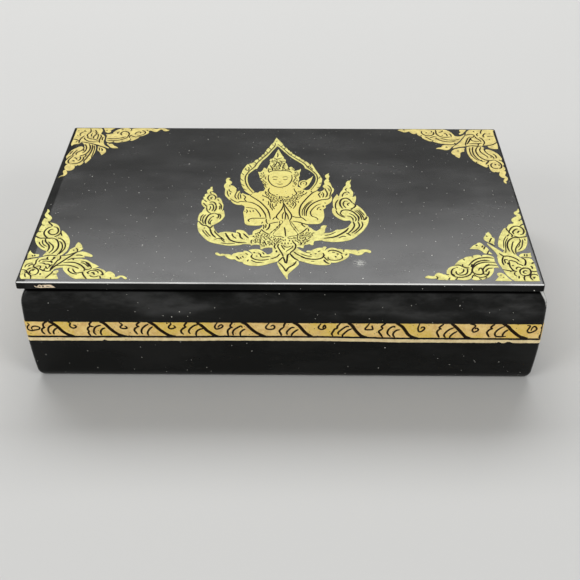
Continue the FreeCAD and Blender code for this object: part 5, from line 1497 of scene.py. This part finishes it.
# A darker, warmer copy of the lid gold for the back corners: partly the gold's own tone, partly painted
# shade from how the light falls there.
back_gold_shaded = gold("back_gold_shaded", rgb(0.68, 0.56, 0.15), rgb(0.44, 0.34, 0.075), rgb(0.83, 0.73, 0.33))
wall_gold = gold("wall_gold", rgb(1.0, 0.70, 0.23), rgb(0.78, 0.48, 0.13), rgb(1.0, 0.80, 0.42),
                 amber=rgb(0.86, 0.58, 0.06))
stripe_gold = gold("stripe_gold", rgb(0.99, 0.79, 0.41), rgb(0.82, 0.62, 0.30),
                   rgb(0.97, 0.87, 0.62))
drawn_line = ground_line("drawn_line")
lining_felt = felt("lining_felt", rgb(0.34, 0.022, 0.030), rgb(0.17, 0.010, 0.015))
base_felt = felt("base_felt", rgb(0.030, 0.030, 0.030), rgb(0.012, 0.012, 0.012))
hinge_brass = brass("hinge_brass")
chip_wood = bare_wood("chip_wood")


# Case walls

front_low, front_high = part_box("front_wall")
right_low, right_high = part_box("right_wall")
panel_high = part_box("bottom_panel")[1]
HALF_X, HALF_Y = right_high.x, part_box("back_wall")[1].y
FOOT_Z, RIM_Z = front_low.z, front_high.z
FLOOR_Z = panel_high.z
WALL = HALF_X - right_low.x
RABBET = HALF_X - panel_high.x
BELLY_Z = FOOT_Z + BELLY_HEIGHT


def belly_inset(z):
    """How far the bulge has drawn in at height z from its widest part."""
    return BELLY_RADIUS - math.sqrt(BELLY_RADIUS ** 2 - (z - BELLY_Z) ** 2)


def tangent_arc(start, direction, end):
    """Points of the arc that leaves start along direction and runs to end."""
    chord = end - start
    turn = direction.normalized().angle(chord)
    side = (direction.normalized() - chord.normalized() * math.cos(turn)).normalized()
    radius = chord.length / (2 * math.sin(turn))
    centre = start + chord / 2 - side * radius * math.cos(turn)
    spoke = start - centre
    sense = 1 if spoke.x * direction.y - spoke.y * direction.x > 0 else -1
    points = []
    for k in range(ARC_STEPS + 1):
        spin = Matrix.Rotation(sense * 2 * turn * k / ARC_STEPS, 2)
        points.append(centre + spin @ spoke)
    return points


def wall_section():
    """The closed section of a wall as (inset from the widest part, height) points."""
    low, high = FOOT_Z + FOOT_HEIGHT, RIM_Z - SHOULDER_HEIGHT

    def on_belly(z):
        return Vector((belly_inset(z), z))

    def lean(z, up):
        slope = (z - BELLY_Z) / BELLY_RADIUS
        return Vector((slope, math.sqrt(1 - slope ** 2))) * up

    foot = tangent_arc(on_belly(low), lean(low, -1),
                       on_belly(low) + Vector((FOOT_DEPTH, -FOOT_HEIGHT)))
    rim = tangent_arc(on_belly(high), lean(high, 1),
                      on_belly(high) + Vector((SHOULDER_DEPTH, SHOULDER_HEIGHT)))
    belly = [on_belly(low + (high - low) * k / BELLY_STEPS) for k in range(1, BELLY_STEPS)]
    cut = 0.3 * RIM_SOFTNESS
    inner = [(WALL - RIM_SOFTNESS, RIM_Z), (WALL - cut, RIM_Z - cut), (WALL, RIM_Z - RIM_SOFTNESS),
             (WALL, FLOOR_Z), (RABBET, FLOOR_Z), (RABBET, FOOT_Z)]
    return foot[::-1] + belly + rim + [Vector(p) for p in inner]


def along_wall(half_x, half_y, radius, side):
    """Plan points of the front wall's outline at one inset, from its left mitre to its right one."""
    points = []
    for end, first in ((-1, -135), (1, -90)):
        for k in range(ARC_STEPS + 1):
            a = math.radians(first + 45 * k / ARC_STEPS)
            points.append((end * (half_x - radius) + radius * math.cos(a),
                           radius - half_y + radius * math.sin(a)))
    return [turned(Vector(p), side) for p in points]


SIDES = ("front_wall", "right_wall", "back_wall", "left_wall")


def turned(point, side):
    """A plan point of the front wall carried round to another wall."""
    return Matrix.Rotation(math.pi / 2 * SIDES.index(side), 2) @ point


def halves(side):
    """Half the length and half the depth, as if the wall were the front one."""
    return (HALF_X, HALF_Y) if side in ("front_wall", "back_wall") else (HALF_Y, HALF_X)


def wall(side):
    """One wall, mitred at both ends, its outer vertical edges rounded."""
    half_x, half_y = halves(side)
    section = wall_section()
    places = []
    for inset, z in section:
        radius = WALL_CORNER if inset < RABBET - MM else INNER_CORNER
        for p in along_wall(half_x - inset, half_y - inset, radius, side):
            places.append((p.x, p.y, z))
    stations = 2 * (ARC_STEPS + 1)
    rows = len(section)
    faces = [[r * stations + k for r in range(rows)] for k in (0, stations - 1)]
    for r in range(rows):
        here, after = r * stations, (r + 1) % rows * stations
        for k in range(stations - 1):
            faces.append([here + k, here + k + 1, after + k + 1, after + k])
    piece = solid(side + "_lacquered", places, faces, case_lacquer, WALL_ANGLE)
    return fit(piece, "case", "case_lacquer", side)


def cut_mortises(piece, leaves):
    """Shallow recesses for the hinge leaves, with a hair of room round each."""
    for leaf in leaves:
        low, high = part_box(leaf)
        room = Vector((MORTISE_FIT, MORTISE_FIT, MORTISE_FIT))
        bpy.ops.mesh.primitive_cube_add(size=1)
        block = bpy.context.object
        block.dimensions = high - low + 2 * room
        block.location = (low + high) / 2
        cut = piece.modifiers.new("mortise", "BOOLEAN")
        cut.object = block
        cut.solver = "EXACT"
        bpy.context.view_layer.update()
        shape = piece.evaluated_get(bpy.context.evaluated_depsgraph_get())
        mesh = bpy.data.meshes.new_from_object(shape)
        piece.modifiers.clear()
        piece.data = mesh
        bpy.data.objects.remove(block)


walls = {side: wall(side) for side in SIDES}
cut_mortises(walls["back_wall"], ["hinge_left_case_leaf", "hinge_right_case_leaf"])


# Gold on the walls

def wall_place(side):
    """A function that finds a drawn point on a wall: x along it, z its height, in millimetres."""
    half_x, half_y = halves(side)

    def place(x, z, proud):
        inset = belly_inset(z * MM) - proud
        hx, hy, r = half_x - inset, half_y - inset, WALL_CORNER
        s, sign = abs(x * MM), 1 if x > 0 else -1
        flat = hx - r
        if s <= flat:
            plan = Vector((x * MM, -hy))
        else:
            a = min((s - flat) / r, math.pi / 4)
            plan = Vector((sign * (flat + r * math.sin(a)), -hy + r - r * math.cos(a)))
        plan = turned(plan, side)
        return (plan.x, plan.y, z * MM)
    return place


def read_vine():
    """The vine's units, each with its stem's start and its lines, and the curls at the end."""
    units = []
    curls = []
    for row in rows_of(DRAWINGS["vine"]):
        kind, first, *words = row.split()
        if kind == "unit":
            units.append((float(first), []))
        else:
            drawn = curls if kind == "curl" else units[-1][1]
            drawn.append((float(first), points_of(" ".join(words))))
    return units, curls


def stems(side):
    """Where the stems start: as drawn on the front, evenly spaced on the walls out of sight."""
    drawn = [stem for stem, _ in VINE]
    if side == "front_wall":
        return drawn
    half_x = halves(side)[0] / MM
    count = round(2 * half_x / VINE_PITCH)
    return [2 * half_x * ((k + 0.5) / count - 0.5) - VINE_SHIFT for k in range(count)]


def ragged(low, high, step):
    """Points from low to high, no further apart than step."""
    count = math.ceil((high - low) / step)
    return [low + (high - low) * k / count for k in range(count + 1)]


def border_height(x, side):
    """Height of the dark line between vine and stripe, as the brush wandered on the front."""
    if side != "front_wall":
        mean, wave, length = OTHER_BORDER
        return mean + wave * math.sin(x / length)
    left = max(k for k in range(len(BORDER) - 1) if BORDER[k][0] <= x or k == 0)
    (x0, z0), (x1, z1) = BORDER[left:left + 2]
    share = min(max((x - x0) / (x1 - x0), 0), 1)
    return z0 + (z1 - z0) * share * share * (3 - 2 * share)


def nick(x, name, side):
    """How far the stripe's lower edge is chipped away at x, on the front."""
    if name == "stripe" and side == "front_wall":
        if any(abs(x - place) < NICK_SIZE for place in NICKS):
            return NICK_SIZE
    return 0


def gild_wall(side):
    """The vine and the stripe under it, from corner to corner of one wall."""
    half_x = halves(side)[0] / MM
    corner = WALL_CORNER / MM
    end = half_x - corner * (1 - math.pi / 4)
    right_end = VINE_RIGHT_END if side == "front_wall" else end
    place = wall_place(side)
    rng = random.Random(side)
    cuts = []
    if side == "front_wall":
        for width, points in END_CURLS:
            cuts += stroke(width * VINE_WEIGHT, points)
    for k, stem in enumerate(stems(side)):
        drawn, lines = VINE[k if side == "front_wall" else k % VINE_REPEAT]
        for width, points in lines:
            moved = [(x + stem - drawn, z) for x, z in points]
            if max(abs(x) for x, _ in moved) < end:
                cuts += stroke(width * VINE_WEIGHT, moved)
    folds = [end - k * corner * math.pi / 16 for k in range(1, 5)] + [half_x - 2 * corner]
    bends = [[(s * x, z) for z in FOLD] for x in folds for s in (-1, 1)]
    for name, stop, low, high, lines, material in (
            ("vine", right_end, VINE_FOOT, None, cuts, wall_gold),
            ("stripe", end, *STRIPE, [], stripe_gold)):
        xs = ragged(-end, stop, EDGE_STEP)
        borders = [border_height(x, side) for x in xs]
        under = [Vector((x, z + low + nick(x, name, side) + rng.uniform(-EDGE_WOBBLE, EDGE_WOBBLE)))
                 for x, z in zip(xs, borders)]
        tops = [VINE_TOP if high is None else z + high for z in borders]
        over = [Vector((x, z + rng.uniform(-EDGE_WOBBLE, EDGE_WOBBLE))) for x, z in zip(xs, tops)]
        edge = []
        if name == "vine" and side == "front_wall":
            heights = ragged(under[-1].y, over[-1].y, END_STEP)[1:-1]
            edge = [Vector((right_end + rng.uniform(*END_WOBBLE), z)) for z in heights]
        node = "gilt_band" if name == "vine" else "gilt_line"
        verts, tris, dark = fill([under + edge + over[::-1]], lines, bends)
        piece = plate(f"{name}_{side}", verts, tris, place, material)
        fit(piece, "case", "gold_leaf", node)
        if dark:
            piece = plate(f"{name}_{side}_lines", verts, dark, place, drawn_line, LINE_PROUD)
            fit(piece, "case", "case_lacquer", node)


VINE, END_CURLS = read_vine()
for side in SIDES:
    gild_wall(side)


# Gold on the lid

def lid_place(origin, x_sign, y_sign):
    """A function that finds a drawn point on the lid's top."""
    def place(x, y, proud):
        return (origin.x + x_sign * x * MM, origin.y + y_sign * y * MM, lid_high.z + proud)
    return place


def gild_lid(name, brush, origin, x_sign, y_sign, material):
    """One ornament on the lid: its leaf, and the dark drawing between."""
    leaves, cuts = read_drawing(DRAWINGS[name], brush)
    verts, tris, dark = fill(leaves, cuts)
    place = lid_place(origin, x_sign, y_sign)
    gilt = plate("ornament_" + name, verts, tris, place, material)
    fit(gilt, "lid", "gold_leaf", "gilt_" + name)
    drawn = plate(f"ornament_{name}_lines", verts, dark, place, drawn_line, LINE_PROUD)
    fit(drawn, "lid", "lid_lacquer", "gilt_" + name)


for name, x_sign, y_sign, material in (("corner_front_left", 1, 1, lid_gold),
                                       ("corner_front_right", -1, 1, lid_gold),
                                       ("corner_back_left", 1, -1, back_gold_shaded),
                                       ("corner_back_right", -1, -1, back_gold_shaded)):
    corner = Vector((lid_low.x if x_sign > 0 else lid_high.x,
                     lid_low.y if y_sign > 0 else lid_high.y))
    gild_lid(name, CORNER_BRUSH, corner, x_sign, y_sign, material)
gild_lid("figure", FIGURE_BRUSH, lid_middle, 1, 1, figure_gold)


# Felt

def felt_piece(node, thin, face, material, slot, body):
    """A felt sheet that fills its node's box; its nap is on the side that face points to."""
    low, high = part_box(node)
    a, b = [k for k in range(3) if k != thin]
    steps = [max(4, round((high[k] - low[k]) / FELT_CELL)) for k in (a, b)]
    seat, nap = (low[thin], high[thin]) if face > 0 else (high[thin], low[thin])
    places, faces = [], []
    for layer in (0, 1):
        for i in range(steps[0] + 1):
            for j in range(steps[1] + 1):
                p = Vector((0, 0, 0))
                p[a] = low[a] + (high[a] - low[a]) * i / steps[0]
                p[b] = low[b] + (high[b] - low[b]) * j / steps[1]
                border = min(i, steps[0] - i, j, steps[1] - j)
                if layer:
                    p[thin] = nap
                    rough = sum(noise.noise(p * wave) * 0.5 for wave in FELT_WAVES)
                    pressed = FELT_EDGE * (high - low)[thin] if border == 0 else 0
                    p[thin] = nap - face * (FELT_NAP * (0.5 + 0.5 * rough) + pressed)
                else:
                    p[thin] = seat
                places.append(p)
    across = steps[1] + 1
    layer_size = (steps[0] + 1) * across

    def at(layer, i, j):
        return layer * layer_size + i * across + j

    for layer in (0, 1):
        for i in range(steps[0]):
            for j in range(steps[1]):
                faces.append([at(layer, i, j), at(layer, i + 1, j),
                              at(layer, i + 1, j + 1), at(layer, i, j + 1)])
    for i in range(steps[0]):
        for j in (0, steps[1]):
            faces.append([at(0, i, j), at(0, i + 1, j), at(1, i + 1, j), at(1, i, j)])
    for j in range(steps[1]):
        for i in (0, steps[0]):
            faces.append([at(0, i, j), at(0, i, j + 1), at(1, i, j + 1), at(1, i, j)])
    piece = solid(node + "_nap", places, faces, material, FELT_ANGLE)
    fit(piece, body, slot, node)


felt_piece("floor_felt", 2, 1, lining_felt, "lining_felt", "case")
felt_piece("base_felt", 2, -1, base_felt, "base_felt", "case")
for side, thin, face in (("front", 1, 1), ("back", 1, -1), ("left", 0, 1), ("right", 0, -1)):
    felt_piece(side + "_lining", thin, face, lining_felt, "lining_felt",
               "case")
felt_piece("lid_felt", 2, -1, lining_felt, "lining_felt", "lid")


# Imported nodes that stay, with better finishes

KEPT_ANGLE = 35             # degrees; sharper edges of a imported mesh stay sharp
JOIN_WITHIN = 0.001 * MM


def smoothing():
    """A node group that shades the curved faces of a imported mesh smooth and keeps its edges."""
    group = bpy.data.node_groups.new("smooth_by_angle", "GeometryNodeTree")
    group.interface.new_socket("Geometry", in_out="INPUT", socket_type="NodeSocketGeometry")
    group.interface.new_socket("Geometry", in_out="OUTPUT", socket_type="NodeSocketGeometry")
    nodes, links = group.nodes, group.links
    start, end = nodes.new("NodeGroupInput"), nodes.new("NodeGroupOutput")
    merge = nodes.new("GeometryNodeMergeByDistance")
    merge.inputs["Distance"].default_value = JOIN_WITHIN
    faces = nodes.new("GeometryNodeSetShadeSmooth")
    edges = nodes.new("GeometryNodeSetShadeSmooth")
    edges.domain = "EDGE"
    edges.inputs["Shade Smooth"].default_value = False
    angle = nodes.new("GeometryNodeInputMeshEdgeAngle")
    wide = nodes.new("FunctionNodeCompare")
    wide.operation = "GREATER_THAN"
    wide.inputs[1].default_value = math.radians(KEPT_ANGLE)
    links.new(start.outputs[0], merge.inputs["Geometry"])
    links.new(merge.outputs["Geometry"], faces.inputs["Geometry"])
    links.new(faces.outputs["Geometry"], edges.inputs["Geometry"])
    links.new(angle.outputs["Unsigned Angle"], wide.inputs[0])
    links.new(wide.outputs[0], edges.inputs["Selection"])
    links.new(edges.outputs["Geometry"], end.inputs[0])
    return group


smooth_group = smoothing()
KEPT = {
    "lid_panel": lid_lacquer, "bottom_panel": base_lacquer, "case_screws": hinge_brass,
    "lid_screws": hinge_brass,
}
for side in ("left", "right"):
    for part in ("case_leaf", "lid_leaf", "pin"):
        KEPT[f"hinge_{side}_{part}"] = hinge_brass
for node, material in KEPT.items():
    packed = frame["nodes"][node]
    packed.data.materials.clear()
    packed.data.materials.append(material)
    packed.modifiers.new("smooth", "NODES").node_group = smooth_group


# Chip on the lid's front edge

def edge_place(x, z, proud):
    """Where a point drawn on the lid's front edge lies, from its lower left end."""
    return (lid_low.x + x * MM, lid_low.y - proud, lid_low.z + z * MM)


def chip():
    """A scar near the left corner, where the lacquer has come off the lid's edge."""
    leaves, cuts = read_drawing(DRAWINGS["chip"], CHIP_BRUSH)
    verts, tris, _ = fill(leaves, cuts)
    fit(plate("lid_edge_chip", verts, tris, edge_place, chip_wood), "lid", "lid_lacquer")


chip()


# Floor, light and camera

FLOOR_RINGS = (0.3, 0.8, 1.4, 2.0)
FLOOR_SIDES = 96
COVE_RADIUS = 0.8
COVE_STEPS = 9
WORLD_COLOUR = rgb(0.80, 0.80, 0.79)
WORLD_STRENGTH = 0.36
SEEN_FROM, SEEN_TO = 0.01, 20   # nearest and farthest distance that the camera sees


def floor():
    """A round floor whose border curves up, so that no horizon shows at a low angle."""
    profile = [(r, 0.0) for r in FLOOR_RINGS]
    for k in range(1, COVE_STEPS + 1):
        a = math.radians(9 * k)
        profile.append((FLOOR_RINGS[-1] + COVE_RADIUS * math.sin(a),
                        COVE_RADIUS - COVE_RADIUS * math.cos(a)))
    places, faces = [(0, 0, 0)], []
    for r, z in profile:
        for k in range(FLOOR_SIDES):
            a = 2 * math.pi * k / FLOOR_SIDES
            places.append((r * math.cos(a), r * math.sin(a), z))
    for k in range(FLOOR_SIDES):
        n = (k + 1) % FLOOR_SIDES
        faces.append([0, 1 + k, 1 + n])
        for ring in range(len(profile) - 1):
            low, high = 1 + ring * FLOOR_SIDES, 1 + (ring + 1) * FLOOR_SIDES
            faces.append([low + k, high + k, high + n, low + n])
    mesh = bpy.data.meshes.new("floor")
    mesh.from_pydata(places, [], faces)
    mesh.materials.append(floor_finish("floor_paper"))
    mesh.shade_smooth()
    piece = bpy.data.objects.new("floor", mesh)
    bpy.context.scene.collection.objects.link(piece)


def lamp(name, place, target, size, power):
    """A soft rectangular lamp at place, turned to target."""
    data = bpy.data.lights.new(name, "AREA")
    data.shape = "RECTANGLE"
    data.size, data.size_y = size
    data.energy = power
    light = bpy.data.objects.new(name, data)
    light.location = place
    light.rotation_euler = (Vector(target) - Vector(place)).to_track_quat("-Z", "Y").to_euler()
    bpy.context.scene.collection.objects.link(light)


def world():
    """Even, dim light from all around."""
    made = bpy.data.worlds.new("studio")
    made.use_nodes = True
    background = made.node_tree.nodes["Background"]
    background.inputs["Color"].default_value = WORLD_COLOUR
    background.inputs["Strength"].default_value = WORLD_STRENGTH
    bpy.context.scene.world = made


def camera():
    """The photograph's view, from its pitch, yaw and roll."""
    pitch, yaw, roll = (math.radians(a) for a in (CAMERA_PITCH, CAMERA_YAW, CAMERA_ROLL))
    ahead = Vector((math.sin(yaw) * math.cos(pitch), math.cos(yaw) * math.cos(pitch),
                    -math.sin(pitch)))
    right = ahead.cross(Vector((0, 0, 1))).normalized()
    up = right.cross(ahead)
    cos, sin = math.cos(roll), math.sin(roll)
    right, up = right * cos + up * sin, up * cos - right * sin
    data = bpy.data.cameras.new("camera")
    data.sensor_width = SENSOR
    data.lens = FOCAL_PIXELS / PICTURE_PIXELS * SENSOR
    data.clip_start, data.clip_end = SEEN_FROM, SEEN_TO
    seen = bpy.data.objects.new("camera", data)
    seen.matrix_world = Matrix((
        (right.x, up.x, -ahead.x, CAMERA_PLACE.x),
        (right.y, up.y, -ahead.y, CAMERA_PLACE.y),
        (right.z, up.z, -ahead.z, CAMERA_PLACE.z),
        (0, 0, 0, 1)))
    bpy.context.scene.collection.objects.link(seen)
    bpy.context.scene.camera = seen


floor()
world()
camera()
lamp("back_light", (-0.14, 1.15, 1.40), (0, 0, 0.05), (2.2, 0.75), 27)
lamp("left_light", (-1.3, -1.0, 0.95), (0, 0, 0.03), (0.8, 0.8), 10)
lamp("right_light", (1.3, -1.0, 0.95), (0, 0, 0.03), (0.8, 0.8), 10)
bpy.context.scene.view_settings.view_transform = "Standard"
